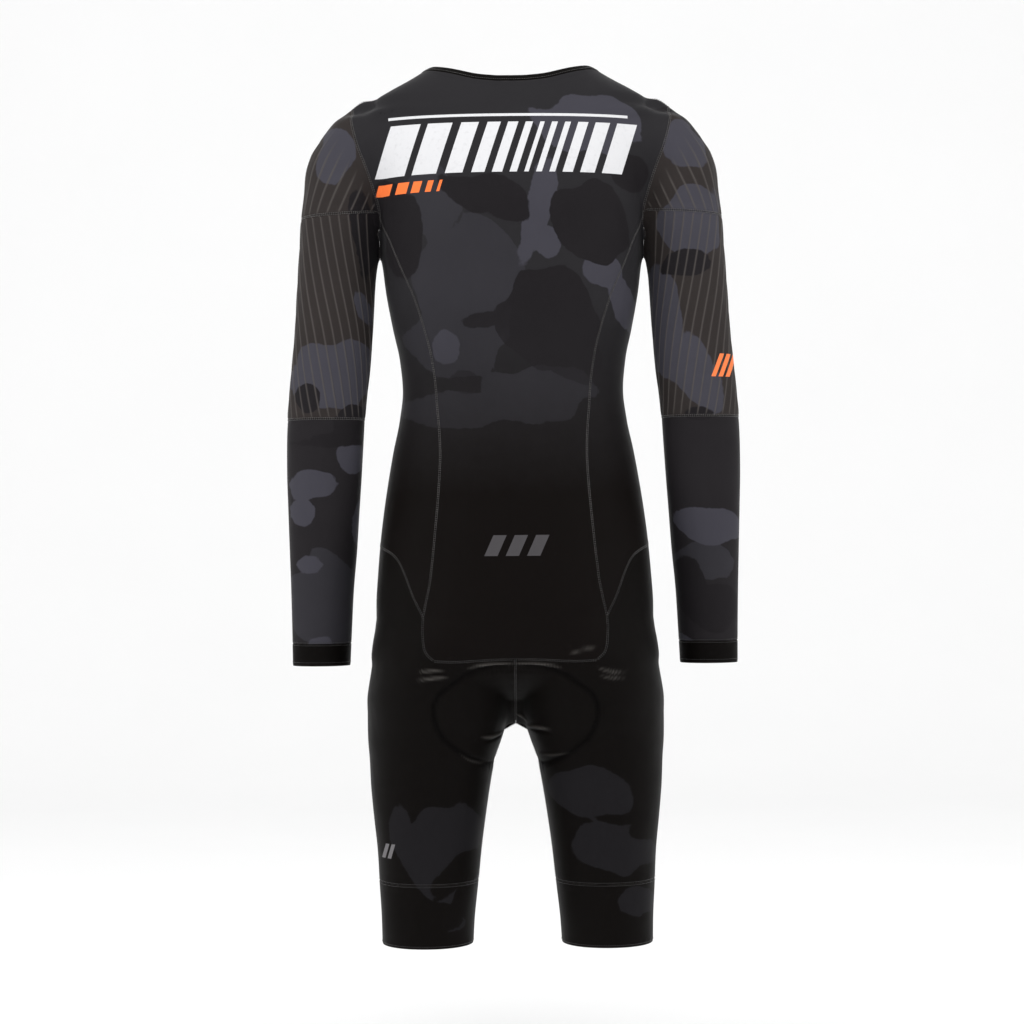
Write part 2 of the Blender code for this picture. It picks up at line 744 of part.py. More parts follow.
def short_of(corners, normal, trees):
    """How much further inward a cell of the pad must go to stand clear of the cloth."""
    (a, b), (d, c) = corners
    warp = abs((a + c - b - d) @ normal[0, 0]) / 4
    short = 0.0
    share = np.linspace(0, 1, PAD_PROBES + 1)
    for v, u in itertools.product(share, share):
        weight = np.outer((1 - v, v), (1 - u, u))[..., None]
        outward = Vector((normal * weight).sum((0, 1))).normalized()
        start = Vector((corners * weight).sum((0, 1))) - outward * PROBE_REACH
        hits = [tree.ray_cast(start, outward, 2 * PROBE_REACH)[3] for tree in trees]
        room = min([hit for hit in hits if hit is not None], default=2 * PROBE_REACH) - PROBE_REACH
        short = max(short, PAD_CLEAR + warp - room)
    return short


def inside_tree(rows):
    """A search tree over the facets between rows of points."""
    height, width = rows.shape[:2]
    facets = []
    for row, column in itertools.product(range(height - 1), range(width - 1)):
        at = row * width + column
        facets += [(at, at + 1, at + width + 1), (at, at + width + 1, at + width)]
        facets += [(at, at + 1, at + width), (at + 1, at + width + 1, at + width)]
    return BVHTree.FromPolygons([Vector(p) for p in rows.reshape(-1, 3)], facets)


def zip_layers(seams):
    """The zip's front and back faces: a tape inside the fronts with the chain standing in their gap."""
    centre = seams["zip"].copy()
    centre[:, 0] = 0
    centre = onto_form(centre)
    shelf = -(CLOTH + TAPE_CLEAR)
    front_profile = (
        (-TAPE_HALF_WIDTH, shelf),
        (-CHAIN_HALF_WIDTH - CHAIN_FLARE, shelf),
        (-CHAIN_HALF_WIDTH, CHAIN_PROUD),
        (CHAIN_HALF_WIDTH, CHAIN_PROUD),
        (CHAIN_HALF_WIDTH + CHAIN_FLARE, shelf),
        (TAPE_HALF_WIDTH, shelf),
    )
    front, back = [], []
    for x, height in front_profile:
        line = onto_form(centre + np.array([x, 0, 0]))
        front.append(line + normals_at(line) * height)
        back.append(line + normals_at(line) * (shelf - TAPE))
    return np.stack(front, axis=1), np.stack(back, axis=1)


def slider_place(seams):
    """Where the slider sits on the zip, and the matrix whose Y axis points out of the cloth there."""
    line = seams["zip"].copy()
    line[:, 0] = 0
    run = np.concatenate([[0], np.cumsum(np.linalg.norm(np.diff(line, axis=0), axis=1))])
    point = np.array([np.interp(SLIDER_BELOW_NECK, run, line[:, axis]) for axis in range(3)])
    point = onto_form(point[None])[0]
    outward = Vector(normals_at(point[None])[0])
    outward.x = 0
    outward.normalize()
    across = Vector((1, 0, 0))
    up = across.cross(outward)
    turn = Matrix((across, outward, up)).transposed().to_4x4()
    return Matrix.Translation(Vector(point) * MM) @ turn


def block(size, centre):
    """A box as a bmesh, from its size and centre in millimetres."""
    solid = bmesh.new()
    bmesh.ops.create_cube(solid, size=1)
    for vertex in solid.verts:
        vertex.co = Vector(c + v * s for c, v, s in zip(centre, vertex.co, size)) * MM
    return solid


def place_solid(name, solid, at, finish, collection):
    """An object from a bmesh, set at a matrix."""
    mesh = bpy.data.meshes.new(name)
    solid.to_mesh(mesh)
    solid.free()
    mesh.materials.append(finish)
    obj = bpy.data.objects.new(name, mesh)
    obj.matrix_world = at
    collection.objects.link(obj)
    shade(obj)
    return obj


def join_blocks(name, blocks, at, finish, collection, operations, bevel):
    """One object from boxes: the first, with each other one joined to it or cut from it."""
    obj = place_solid(name, block(*blocks[0]), at, finish, collection)
    helpers = bpy.data.collections["cutters"]
    for number, (extra, operation) in enumerate(zip(blocks[1:], operations)):
        helper = place_solid(f"{name}_helper_{number}", block(*extra), at, finish, helpers)
        helper.hide_render = True
        helper.display_type = "WIRE"
        step = obj.modifiers.new(f"step_{number}", "BOOLEAN")
        step.operation = operation
        step.object = helper
        step.solver = "EXACT"
    rounding = obj.modifiers.new("rounding", "BEVEL")
    rounding.width = bevel * MM
    rounding.segments = 1
    rounding.limit_method = "ANGLE"
    return obj


def build_zip_hardware(seams, metal, collection):
    """The slider over the chain, and the pull whose eye turns under the slider's crown."""
    at = slider_place(seams)
    base = CHAIN_PROUD + SEAM_GAP
    top = base + SLIDER_SIZE[1]
    body = (SLIDER_SIZE, (0, (base + top) / 2, 0))
    crown_wide, crown_high, crown_tall = CROWN_SIZE
    crown = (CROWN_SIZE, (0, top + crown_high / 2 - CROWN_SUNK, 0))
    room = crown_high - CROWN_BAR - CROWN_SUNK
    pivot = top + room / 2
    hollow = ((crown_wide + CUT_OVER, room, crown_tall - 2 * CROWN_LEG), (0, pivot, 0))
    operations = ("UNION", "DIFFERENCE")
    join_blocks("zip_slider", [body, crown, hollow], at, metal, collection, operations, SLIDER_BEVEL)
    at_pivot = at @ Matrix.Translation(Vector((0, pivot, 0)) * MM)
    plate = (PULL_SIZE, (0, 0, EYE_BAR_RADIUS - PULL_SIZE[2] / 2))
    eye_size = (EYE_WIDTH, PULL_SIZE[1] + 2 * CUT_OVER, EYE_LENGTH)
    eye = (eye_size, (0, 0, -EYE_BAR_RADIUS - EYE_LENGTH / 2))
    join_blocks("zip_pull", [plate, eye], at_pivot, metal, collection, ("DIFFERENCE",), PULL_BEVEL)


def both_sides(name, rows, finish, collection, **how):
    """The same piece of cloth on the wearer's right and left."""
    cloth(name + "_right", rows, finish, collection, **how)
    cloth(name + "_left", mirrored(rows), finish, collection, **how)


def build():
    for old in list(bpy.data.objects):
        bpy.data.objects.remove(old)
    suit = bpy.data.collections.new("cycling_skinsuit")
    cutters = bpy.data.collections.new("cutters")
    cutters.hide_render = True
    for made in (suit, cutters):
        bpy.context.scene.collection.children.link(made)

    black, charcoal, ribbed, foam, plastic, metal = (material(*row) for row in MATERIALS)

    seams = build_seams()
    cloth("back_panel", inset(back_rows(seams)), charcoal, suit)
    both_sides("side_panel", inset(side_rows(seams)), charcoal, suit)
    both_sides("front_panel", inset(front_rows(seams)), charcoal, suit)
    both_sides("leg_panel", inset(leg_rows(seams)), black, suit)
    cap = inset(cap_rows(seams))
    both_sides("sleeve_cap", cap, ribbed, suit, raised=rib_pattern(cap))
    sleeve = drawn_in(sleeve_rows(seams))
    both_sides("upper_sleeve", sleeve, ribbed, suit, raised=rib_pattern(sleeve), closed=True)
    both_sides("forearm", tube_rows(arm_at, ELBOW_Z, CUFF_TOP_Z, FOREARM_ROWS), charcoal, suit, closed=True)
    cuff = tube_rows(arm_at, CUFF_TOP_Z, CUFF_END_Z, CUFF_ROWS)
    both_sides("cuff", cuff, black, suit, thick=BAND, closed=True)
    gripper = tube_rows(leg_at, GRIPPER_TOP_Z, HEM_Z, GRIPPER_ROWS)
    both_sides("leg_gripper", gripper, black, suit, thick=BAND, closed=True)
    cloth("neck_binding", binding_rows(seams), black, suit, thick=BAND, raised=BINDING_ROUND)
    loft("seat_pad", pad_layers(seams), foam, suit)
    loft("zip_tape", zip_layers(seams), plastic, suit)
    build_zip_hardware(seams, metal, suit)


build()
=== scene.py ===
"""Looks of a long-sleeved cycling skinsuit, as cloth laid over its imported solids.

Every sewn piece is a thin closed wall of cloth on the solid's own form, in finer steps, with its folds, ribs,
print and stitches. Sizes in the tables are millimetres. +Z is up, -Y is the wearer's back and +X the
wearer's right.
"""

import math

import bmesh
import bpy
import numpy as np
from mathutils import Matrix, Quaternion, Vector
from mathutils.kdtree import KDTree


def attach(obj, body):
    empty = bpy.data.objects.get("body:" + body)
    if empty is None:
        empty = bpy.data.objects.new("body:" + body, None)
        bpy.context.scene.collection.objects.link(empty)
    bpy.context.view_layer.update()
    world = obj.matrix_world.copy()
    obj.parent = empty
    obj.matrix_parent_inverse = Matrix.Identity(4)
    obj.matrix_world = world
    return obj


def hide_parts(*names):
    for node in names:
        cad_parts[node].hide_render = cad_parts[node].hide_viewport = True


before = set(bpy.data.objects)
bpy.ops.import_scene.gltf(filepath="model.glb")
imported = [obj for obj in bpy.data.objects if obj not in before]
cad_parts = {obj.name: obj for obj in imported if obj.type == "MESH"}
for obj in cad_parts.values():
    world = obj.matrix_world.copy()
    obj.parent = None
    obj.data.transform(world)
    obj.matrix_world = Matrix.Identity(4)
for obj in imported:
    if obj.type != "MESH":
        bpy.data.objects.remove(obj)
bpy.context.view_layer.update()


def rgb(red, green, blue):
    """A linear colour from one in 0 to 255 as screens show it."""
    shades = (red / 255, green / 255, blue / 255)
    return (*(((c + 0.055) / 1.055) ** 2.4 if c > 10 / 255 else c / 12.92 for c in shades), 1)


MM = 0.001

# The cloth's thickness, a doubled band's thickness, and the gap between pieces at a seam.
CLOTH = 1.2
BAND = 1.8
SEAM_GAP = 0.3
# The step for tables and slopes, the distance within which points are one, and a curve's steps between points.
FORM_STEP = 0.5
SAME_POINT = 0.001
TINY = 1e-9
CURVE_STEPS = 24

# Level sections of the torso: height, half width, and depth behind and in front of the Y axis.
TORSO_COLUMNS = ("z", "half_width", "back", "front")
TORSO_SECTIONS = (
    (50, 56, 58, 42),
    (28, 63, 56, 45),
    (16, 75, 56, 48),
    (7, 92, 58, 52),
    (-5, 112, 65, 58),
    (-19, 137.5, 73, 65),
    (-27, 148.8, 78, 69),
    (-35, 150, 83, 73),
    (-45, 165, 88, 78),
    (-56, 160, 94, 83),
    (-84, 158, 109, 97),
    (-122, 151, 121, 112),
    (-160, 146, 125, 120),
    (-194, 143, 124, 121),
    (-233, 139, 119, 118),
    (-278, 131, 109, 111),
    (-311, 124, 100, 104),
    (-345, 121, 92, 98),
    (-379, 125, 90, 94),
    (-412, 132, 95, 93),
    (-446, 138, 104, 94),
    (-479, 143, 112, 95),
    (-512, 147, 119, 96),
    (-547, 150, 125, 95),
    (-580, 152, 128, 93),
    (-614, 152, 126, 89),
    (-632, 148, 119, 84),
    (-646, 134, 108, 77),
    (-657, 110, 93, 70),
    (-667, 80, 73, 59),
    (-676, 52, 50, 42),
    (-683, 30, 28, 25),
)

# Level sections of one arm: height, centre, half width and half depth.
ARM_COLUMNS = ("z", "centre_x", "centre_y", "half_width", "half_depth")
ARM_SECTIONS = (
    (-42, 161.3, 0, 22.4, 14),
    (-49, 165, 0, 28, 38),
    (-58, 159.4, -1, 41.4, 47),
    (-71, 162.5, -2, 47.4, 54),
    (-86, 169, -3, 50, 58),
    (-101, 174, -4, 50, 60),
    (-130, 179.5, -6, 47.5, 60),
    (-160, 185.5, -8, 45, 57),
    (-194, 189.5, -10, 43, 54),
    (-234, 192.5, -12, 42.5, 52),
    (-278, 195, -15, 42.5, 49),
    (-322, 199, -18, 42.5, 47),
    (-366, 203.5, -20, 42, 46),
    (-388, 205, -19, 42, 46),
    (-432, 207, -14, 41, 45),
    (-476, 208.5, -7, 39, 42),
    (-520, 210, 2, 37, 38),
    (-564, 212, 11, 34.5, 34),
    (-608, 213.5, 21, 33, 31),
    (-664, 215.5, 34, 31.5, 29),
)

# Level sections of one leg: height, centre, half width, and depth behind and in front of the centre.
LEG_COLUMNS = ("z", "centre_x", "centre_y", "half_width", "back", "front")
LEG_SECTIONS = (
    (-600, 71, -16, 68, 90, 78),
    (-640, 76, -14, 80, 103, 84),
    (-676, 82, -8, 80, 101, 84),
    (-700, 85, -4, 77.5, 95, 83),
    (-726, 89, 0, 73.5, 86, 81),
    (-748, 92, 1, 69, 82, 79),
    (-782, 94.5, 2, 65, 77, 75),
    (-815, 95.5, 2, 61, 73, 71),
    (-849, 96, 1, 57, 68, 67),
    (-888, 97, -1, 54, 64, 63),
    (-925, 98, -3, 51, 61, 60),
    (-950, 98.5, -4, 50, 60, 59),
)

# How square the sections are, how their cores are rounded, and how wide the blends between the forms are.
TORSO_SQUARENESS = 2.3
LIMB_SQUARENESS = 2.1
CORE_ROUNDING = 0.05
CROTCH_BLEND = 27
HIP_BLEND = 22
# The width of the blend between the torso and an arm, by height.
ARMHOLE_BLENDS = ((-170, 10), (-75, 26.8), (-45, 19.6))

# Points that the seams pass near, on the wearer's right. Each is moved onto the form.
SHOULDER_POINT = (173, 0, -36)
NECK_POINT = (100, -2, 3)
PRINCESS_START = (144, -38, -151)
FRONT_START = (145, 28, -150)
ARMHOLE_BACK = (
    SHOULDER_POINT,
    (173, -24, -44),
    (170.5, -46, -63),
    (165, -60, -84),
    (157, -64, -104),
    (149, -58, -128),
    PRINCESS_START,
)
ARMHOLE_UNDER = (
    PRINCESS_START,
    (143, -24, -177),
    (143.2, -7, -193),
    (144, 11, -180),
    FRONT_START,
)
ARMHOLE_FRONT = (
    FRONT_START,
    (148, 47, -127),
    (155, 57, -99),
    (165, 54, -74),
    (172.5, 31, -48),
    SHOULDER_POINT,
)
CAP_SEAM = (
    PRINCESS_START,
    (160, -58, -153),
    (190, -64.5, -155),
    (215, -50, -156),
    (229, -8, -157),
    (215, 34, -156),
    (190, 49, -155),
    (163, 45, -152),
    FRONT_START,
)
SHOULDER_SEAM = (SHOULDER_POINT, (155, 0, -27), (128, 0, -13), NECK_POINT)
NECK_BACK = (
    NECK_POINT,
    (93, -21, 4),
    (76, -46, 0),
    (45, -64, -9.5),
    (20, -69, -13.5),
    (0, -70, -14),
)
ZIP_HALF_GAP = 3.5
NECK_FRONT = (
    NECK_POINT,
    (97, 36, -8),
    (81, 61, -29),
    (53, 78, -52),
    (24, 86, -64),
    (ZIP_HALF_GAP, 89, -68),
)

TIP = (98, -106, -590)
HEM_CORNER = (86, -116, -636)
PRINCESS = (
    PRINCESS_START,
    (139, -43, -167),
    (130, -62, -188),
    (110, -80, -235),
    (99, -82, -265),
    (88.5, -78, -303),
    (81.5, -73, -366),
    (78.5, -83, -421),
    (82, -96, -475),
    (89, -106, -547),
    TIP,
)
BACK_CORNER = (TIP, (98, -111, -612), (95, -114, -627), HEM_CORNER)
BACK_HEM = (HEM_CORNER, (60, -119, -637), (0, -118, -635))
FRONT_FOOT = (112, 67, -500)
FRONT_PRINCESS = (
    FRONT_START,
    (138, 44, -172),
    (127, 64, -200),
    (114, 73, -245),
    (103, 65, -315),
    (102, 63, -395),
    (107, 68, -465),
    FRONT_FOOT,
)
HIP_SEAM = (TIP, (106, -99, -573), (127, -72, -527), (147, -5, -513), (138, 40, -505), FRONT_FOOT)
WAIST_FRONT = (FRONT_FOOT, (70, 90, -497), (ZIP_HALF_GAP, 95.5, -495))
ZIP_LINE = (
    (ZIP_HALF_GAP, 89, -68),
    (ZIP_HALF_GAP, 108, -110),
    (ZIP_HALF_GAP, 120, -190),
    (ZIP_HALF_GAP, 110, -280),
    (ZIP_HALF_GAP, 97, -350),
    (ZIP_HALF_GAP, 93, -420),
    (ZIP_HALF_GAP, 95.5, -495),
)
CROTCH = (0, 0, -702)
SEAT_SEAM = ((0, -118, -635), (0, -101, -655), (0, -74, -676), (0, -40, -694), CROTCH)
FLY_SEAM = ((0, 95.5, -495), (0, 94, -560), (0, 87, -620), (0, 66, -662), (0, 34, -688), CROTCH)

# Places of the level seams round the limbs.
ELBOW_Z = -376
CUFF_TOP_Z = -622
CUFF_END_Z = -647
GRIPPER_TOP_Z = -881
HEM_Z = -950

# Each seam's points, its count of the solids' stretches, and how much closer they stand at its end.
SEAMS = {
    "armhole_back": (ARMHOLE_BACK, 10, 1.0),
    "armhole_under": (ARMHOLE_UNDER, 8, 1.0),
    "armhole_front": (ARMHOLE_FRONT, 10, 1.0),
    "shoulder": (SHOULDER_SEAM, 4, 1.0),
    "neck_back": (NECK_BACK, 6, 1.0),
    "neck_front": (NECK_FRONT, 6, 1.0),
    "princess": (PRINCESS, 15, 1.0),
    "corner": (BACK_CORNER, 3, 1.0),
    "back_hem": (BACK_HEM, 10, 1.0),
    "front_princess": (FRONT_PRINCESS, 15, 1.0),
    "hip": (HIP_SEAM, 8, 1.0),
    "waist": (WAIST_FRONT, 10, 1.0),
    "zip": (ZIP_LINE, 25, 1.0),
    "seat": (SEAT_SEAM, 8, 1.5),
    "fly": (FLY_SEAM, 8, 1.5),
    "cap": (CAP_SEAM, 20, 1.0),
}
MID_LINE_SEAMS = ("seat", "fly")
INSEAM_SPANS = 6
INSEAM_HEIGHTS = 12
INSEAM_BELOW_CROTCH = 16
INSEAM_CROWDING = 1.5

# The solids' rows of stretches along the limbs' pieces, and how many finer steps each stretch gets.
CAP_ROWS = 4
SLEEVE_ROWS = 8
SLEEVE_TWIST = math.radians(-75)
FOREARM_ROWS = 7
CUFF_ROWS = 2
GRIPPER_ROWS = 3
LIMB_SIDES = 22
FINE = 4
SEAT_FINE_ROWS = 8
SEAT_FINE_COLUMNS = 10
EDGE_CUT = 0.1
PATCH_ROUNDS = 18

# A rib of the sleeves' cloth: how far each line of points lies from its middle, in the solids' columns, and
# its height. A finer rib stands between each two of the solids'.
RIB_PROFILE = (
    (-0.5, 0.0),
    (-0.22, 0.0),
    (-0.12, 0.05),
    (-0.06, 0.5),
    (0.0, 0.65),
    (0.06, 0.5),
    (0.12, 0.05),
    (0.22, 0.0),
)
RIB_FADE = (0.5, 0.8)


def smooth_columns(names, rows):
    """A function for each named column: the smooth curve through the table that never overshoots it."""
    data = np.array(sorted(rows), float)
    at = data[:, 0]
    fine = np.arange(at[0], at[-1] + FORM_STEP, FORM_STEP)
    found = {}
    for name, value in zip(names[1:], data[:, 1:].T):
        slope = np.diff(value) / np.diff(at)
        before, after = slope[:-1], slope[1:]
        steady = before * after > 0
        inner = np.where(steady, 2 * before * after / np.where(steady, before + after, 1), 0)
        tangent = np.concatenate([slope[:1], inner, slope[-1:]])
        i = np.clip(np.searchsorted(at, fine, side="right") - 1, 0, len(at) - 2)
        step = at[i + 1] - at[i]
        t = (fine - at[i]) / step
        curve = (
            (1 + 2 * t) * (1 - t) ** 2 * value[i]
            + t * (1 - t) ** 2 * step * tangent[i]
            + t * t * (3 - 2 * t) * value[i + 1]
            - t * t * (1 - t) * step * tangent[i + 1]
        )
        found[name] = lambda place, fine=fine, curve=curve: np.interp(place, fine, curve)
    return found


torso_at = smooth_columns(TORSO_COLUMNS, TORSO_SECTIONS)
arm_at = smooth_columns(ARM_COLUMNS, ARM_SECTIONS)
leg_at = smooth_columns(LEG_COLUMNS, LEG_SECTIONS)


def outside_oval(across, along, half_width, back, front, squareness):
    """Roughly how far points lie outside a level oval section, from their offsets to its centre."""
    depth = np.where(along < 0, back, front)
    reach = np.abs(across / half_width) ** squareness + np.abs(along / depth) ** squareness
    outside = (reach + CORE_ROUNDING) ** (1 / squareness) - (1 + CORE_ROUNDING) ** (1 / squareness)
    return outside * (half_width + (back + front) / 2) / 2


def past_ends(z, sections):
    """How far above the first section or below the last one each height is."""
    heights = [row[0] for row in sections]
    return np.maximum(z - max(heights), 0) + np.maximum(min(heights) - z, 0)


def soft_union(a, b, width):
    """The lesser of two distances, rounded where they are within width of each other."""
    share = np.clip(0.5 + 0.5 * (b - a) / width, 0, 1)
    return b * (1 - share) + a * share - width * share * (1 - share)


def form(points, arms=True):
    """Roughly how far each point lies outside the figure, which is the outer face of the cloth."""
    x, y, z = np.abs(points[:, 0]), points[:, 1], points[:, 2]
    torso = outside_oval(
        x, y, torso_at["half_width"](z), torso_at["back"](z), torso_at["front"](z), TORSO_SQUARENESS
    ) + past_ends(z, TORSO_SECTIONS)
    depth = arm_at["half_depth"](z)
    arm = outside_oval(
        x - arm_at["centre_x"](z),
        y - arm_at["centre_y"](z),
        arm_at["half_width"](z),
        depth,
        depth,
        LIMB_SQUARENESS,
    ) + past_ends(z, ARM_SECTIONS)
    near, far = (
        outside_oval(
            side - leg_at["centre_x"](z),
            y - leg_at["centre_y"](z),
            leg_at["half_width"](z),
            leg_at["back"](z),
            leg_at["front"](z),
            LIMB_SQUARENESS,
        )
        + past_ends(z, LEG_SECTIONS)
        for side in (x, -x)
    )
    lower = soft_union(torso, soft_union(near, far, CROTCH_BLEND), HIP_BLEND)
    if not arms:
        return lower
    return soft_union(lower, arm, np.interp(z, *zip(*ARMHOLE_BLENDS)))


def slope_of(points, arms=True):
    """The gradient of the form at each point."""
    found = np.empty_like(points)
    for axis in range(3):
        step = np.zeros(3)
        step[axis] = FORM_STEP
        found[:, axis] = (form(points + step, arms) - form(points - step, arms)) / (2 * FORM_STEP)
    return found


def normals_at(points):
    """The outward normal of the cloth at each point of an array of any shape."""
    flat = slope_of(points.reshape(-1, 3))
    flat /= np.linalg.norm(flat, axis=1, keepdims=True)
    return flat.reshape(points.shape)


def onto_form(points, arms=True, rounds=40, longest=15.0):
    """The points moved along the form's slope until they lie on it."""
    shape = np.shape(points)
    flat = np.array(points, float).reshape(-1, 3)
    for _ in range(rounds):
        slope = slope_of(flat, arms)
        move = -(form(flat, arms) / (slope**2).sum(1))[:, None] * slope
        length = np.linalg.norm(move, axis=1, keepdims=True)
        flat += move * np.minimum(1, longest / np.maximum(length, TINY))
    return flat.reshape(shape)


def dense_curve(points):
    """Close points along a smooth curve on the form through the given ones."""
    given = np.array(points, float)
    ends = np.concatenate([[2 * given[0] - given[1]], given, [2 * given[-1] - given[-2]]])
    pieces = []
    for a, b, c, d in zip(ends, ends[1:], ends[2:], ends[3:]):
        t = np.linspace(0, 1, CURVE_STEPS, endpoint=False)[:, None]
        pieces.append(
            0.5 * (2 * b + (c - a) * t + (2 * a - 5 * b + 4 * c - d) * t**2 + (3 * b - a - 3 * c + d) * t**3)
        )
    return onto_form(np.concatenate([*pieces, given[-1:]]))


def run_of(line):
    """The length along a line up to each of its points."""
    return np.concatenate([[0], np.cumsum(np.linalg.norm(np.diff(line, axis=0), axis=1))])


def points_along(line, share, crowding=1.0):
    """Points at shares of a dense line's length, closer to its end for a crowding over 1."""
    run = run_of(line)
    at = run[-1] * (1 - (1 - np.asarray(share)) ** crowding)
    return np.stack([np.interp(at, run, line[:, axis]) for axis in range(3)], axis=1)


seam_lines = {}


def seam(name, cuts=None):
    """Points on a seam at places counted in the solids' stretches, or its whole dense line."""
    points, spans, crowding = SEAMS[name]
    if name not in seam_lines:
        line = dense_curve(points)
        if name in MID_LINE_SEAMS:
            line[:, 0] = 0
        seam_lines[name] = line
    if cuts is None:
        return seam_lines[name]
    return points_along(seam_lines[name], np.asarray(cuts) / spans, crowding)


def spans_of(*names):
    """How many of the solids' stretches seams have in all."""
    return sum(SEAMS[name][1] for name in names)


def cuts_of(spans, fine, near_start=True, near_end=True):
    """Places that divide a number of stretches finely, with one more close to each seam at the ends."""
    cuts = list(np.linspace(0, spans, round(spans * fine) + 1))
    if near_start:
        cuts.insert(1, EDGE_CUT)
    if near_end:
        cuts.insert(-1, spans - EDGE_CUT)
    return np.array(cuts)


def edge_of(cuts, *names):
    """The points at the cuts on seams that meet end to end. A name that starts with - runs backwards."""
    found, start = [], 0
    for name in names:
        spans = spans_of(name.strip("-"))
        end = start + spans
        before_end = cuts <= end + TINY if name == names[-1] else cuts < end - TINY
        mine = cuts[(cuts >= start - TINY) & before_end] - start
        found.append(seam(name[1:], spans - mine) if name.startswith("-") else seam(name, mine))
        start += spans
    return np.concatenate(found)


def patch(left, right, bottom, top, u, v, hold=1.0, arms=True):
    """Rows of points on the form inside four edges, at the shares u and v.

    hold is how fast the sides' pull fades.
    """
    u, v = u[None, :, None], v[:, None, None]
    ruled = (1 - v) * bottom[None] + v * top[None]
    from_left, from_right = left[:, None] - ruled[:, :1], right[:, None] - ruled[:, -1:]
    inside = ruled + (1 - u) ** hold * from_left + u**hold * from_right
    if not arms:
        inside = onto_form(inside, arms=False, rounds=PATCH_ROUNDS)
    inside = onto_form(inside, rounds=PATCH_ROUNDS)
    inside[0], inside[-1] = bottom, top
    inside[:, 0], inside[:, -1] = left, right
    return inside


def mirrored(points):
    """The same points on the wearer's left."""
    return points * np.array([-1, 1, 1])


def edge_normal(tangent, normal, inward):
    """The unit vector in the cloth, square to an edge and pointing into the piece."""
    square = np.cross(normal, tangent)
    square /= np.linalg.norm(square, axis=-1, keepdims=True)
    return square * np.sign((square * inward).sum(-1, keepdims=True))


def mitred(loop, inward):
    """How a closed loop of edge points moves for each of its edges to move one millimetre inward."""
    normal = normals_at(loop)
    ahead = np.roll(loop, -1, axis=0) - loop
    square = np.cross(normal + np.roll(normal, -1, axis=0), ahead)
    square /= np.linalg.norm(square, axis=1, keepdims=True)
    before = np.roll(square, 1, axis=0)
    pull = (before + square) / (1 + (before * square).sum(1, keepdims=True))
    return pull * np.sign((pull * inward).sum())


def inset(rows):
    """The rows with their outer points drawn in by half of the seam's gap, along the cloth."""
    last_row, last_column = rows.shape[0] - 1, rows.shape[1] - 1
    across, up = np.arange(last_column), np.arange(last_row)
    row = np.concatenate([np.zeros_like(across), up, np.full_like(across, last_row), last_row - up])
    column = np.concatenate([across, np.full_like(up, last_column), last_column - across, np.zeros_like(up)])
    loop = rows[row, column]
    inward = rows[np.clip(row, 1, last_row - 1), np.clip(column, 1, last_column - 1)] - loop
    distinct = np.linalg.norm(loop - np.roll(loop, 1, axis=0), axis=1) > SAME_POINT
    pull = mitred(loop[distinct], inward[distinct])
    made = rows.copy()
    made[row, column] += pull[np.cumsum(distinct) - 1] * SEAM_GAP / 2
    return made


def drawn_in(rings):
    """Closed rings whose first and last are drawn in by half of the seam's gap."""
    made = rings.copy()
    made[0] += mitred(rings[0], rings[1] - rings[0]) * SEAM_GAP / 2
    made[-1] += mitred(rings[-1], rings[-2] - rings[-1]) * SEAM_GAP / 2
    return made


def ring_points(at, z, turn):
    """Points on an arm's or a leg's level sections, one for each height and turn."""
    across, along = np.cos(turn), np.sin(turn)
    back = at["back"](z) if "back" in at else at["half_depth"](z)
    front = at["front"](z) if "front" in at else at["half_depth"](z)
    depth = np.where(along < 0, back, front)
    width = at["half_width"](z)
    reach = (np.abs(across) ** LIMB_SQUARENESS + np.abs(along) ** LIMB_SQUARENESS) ** (-1 / LIMB_SQUARENESS)
    return np.stack(
        [at["centre_x"](z) + width * across * reach, at["centre_y"](z) + depth * along * reach, z], axis=-1
    )


def back_rows():
    """The back panel, from its hem up to the shoulder seams and the neck."""
    v = cuts_of(spans_of("corner", "princess", "armhole_back"), FINE)
    half = cuts_of(10, FINE, near_end=False)
    right = edge_of(v, "-corner", "-princess", "-armhole_back")
    half_top = edge_of(half, "shoulder", "neck_back")
    half_hem = seam("back_hem", half)
    half_hem[-1, 0] = half_top[-1, 0] = 0
    top = np.concatenate([mirrored(half_top), half_top[-2::-1]])
    bottom = np.concatenate([mirrored(half_hem), half_hem[-2::-1]])
    u = np.concatenate([half, 20 - half[-2::-1]]) / 20
    return patch(mirrored(right), right, bottom, top, u, v / v[-1])


def side_rows():
    """A side panel, from the hip seam up to the armpit."""
    v, u = cuts_of(15, FINE), cuts_of(8, FINE)
    return patch(
        edge_of(v, "-princess"), edge_of(v, "-front_princess"), seam("hip", u), seam("armhole_under", u),
        u / 8, v / 15, arms=False,
    )


def front_rows():
    """A front panel, from the waist seam up to the shoulder seam and the neck, beside the zip."""
    v, u = cuts_of(25, FINE), cuts_of(10, FINE)
    outer, inner = edge_of(v, "-front_princess", "armhole_front"), edge_of(v, "-zip")
    return patch(outer, inner, seam("waist", u), edge_of(u, "shoulder", "neck_front"), u / 10, v / 25)


def inseam_line():
    """The seam inside the thigh, from the crotch down to the gripper."""
    heights = np.linspace(CROTCH[2] - INSEAM_BELOW_CROTCH, GRIPPER_TOP_Z, INSEAM_HEIGHTS)
    inner = ring_points(leg_at, heights, np.full(len(heights), np.pi))
    line = onto_form(np.concatenate([[CROTCH], inner[:-1]]))
    line[0, 0] = 0
    return np.concatenate([line, inner[-1:]])


def inseam(cuts):
    """Points on the inside seam, at places counted in stretches from the crotch."""
    return points_along(inseam_line()[::-1], 1 - np.asarray(cuts) / INSEAM_SPANS, INSEAM_CROWDING)


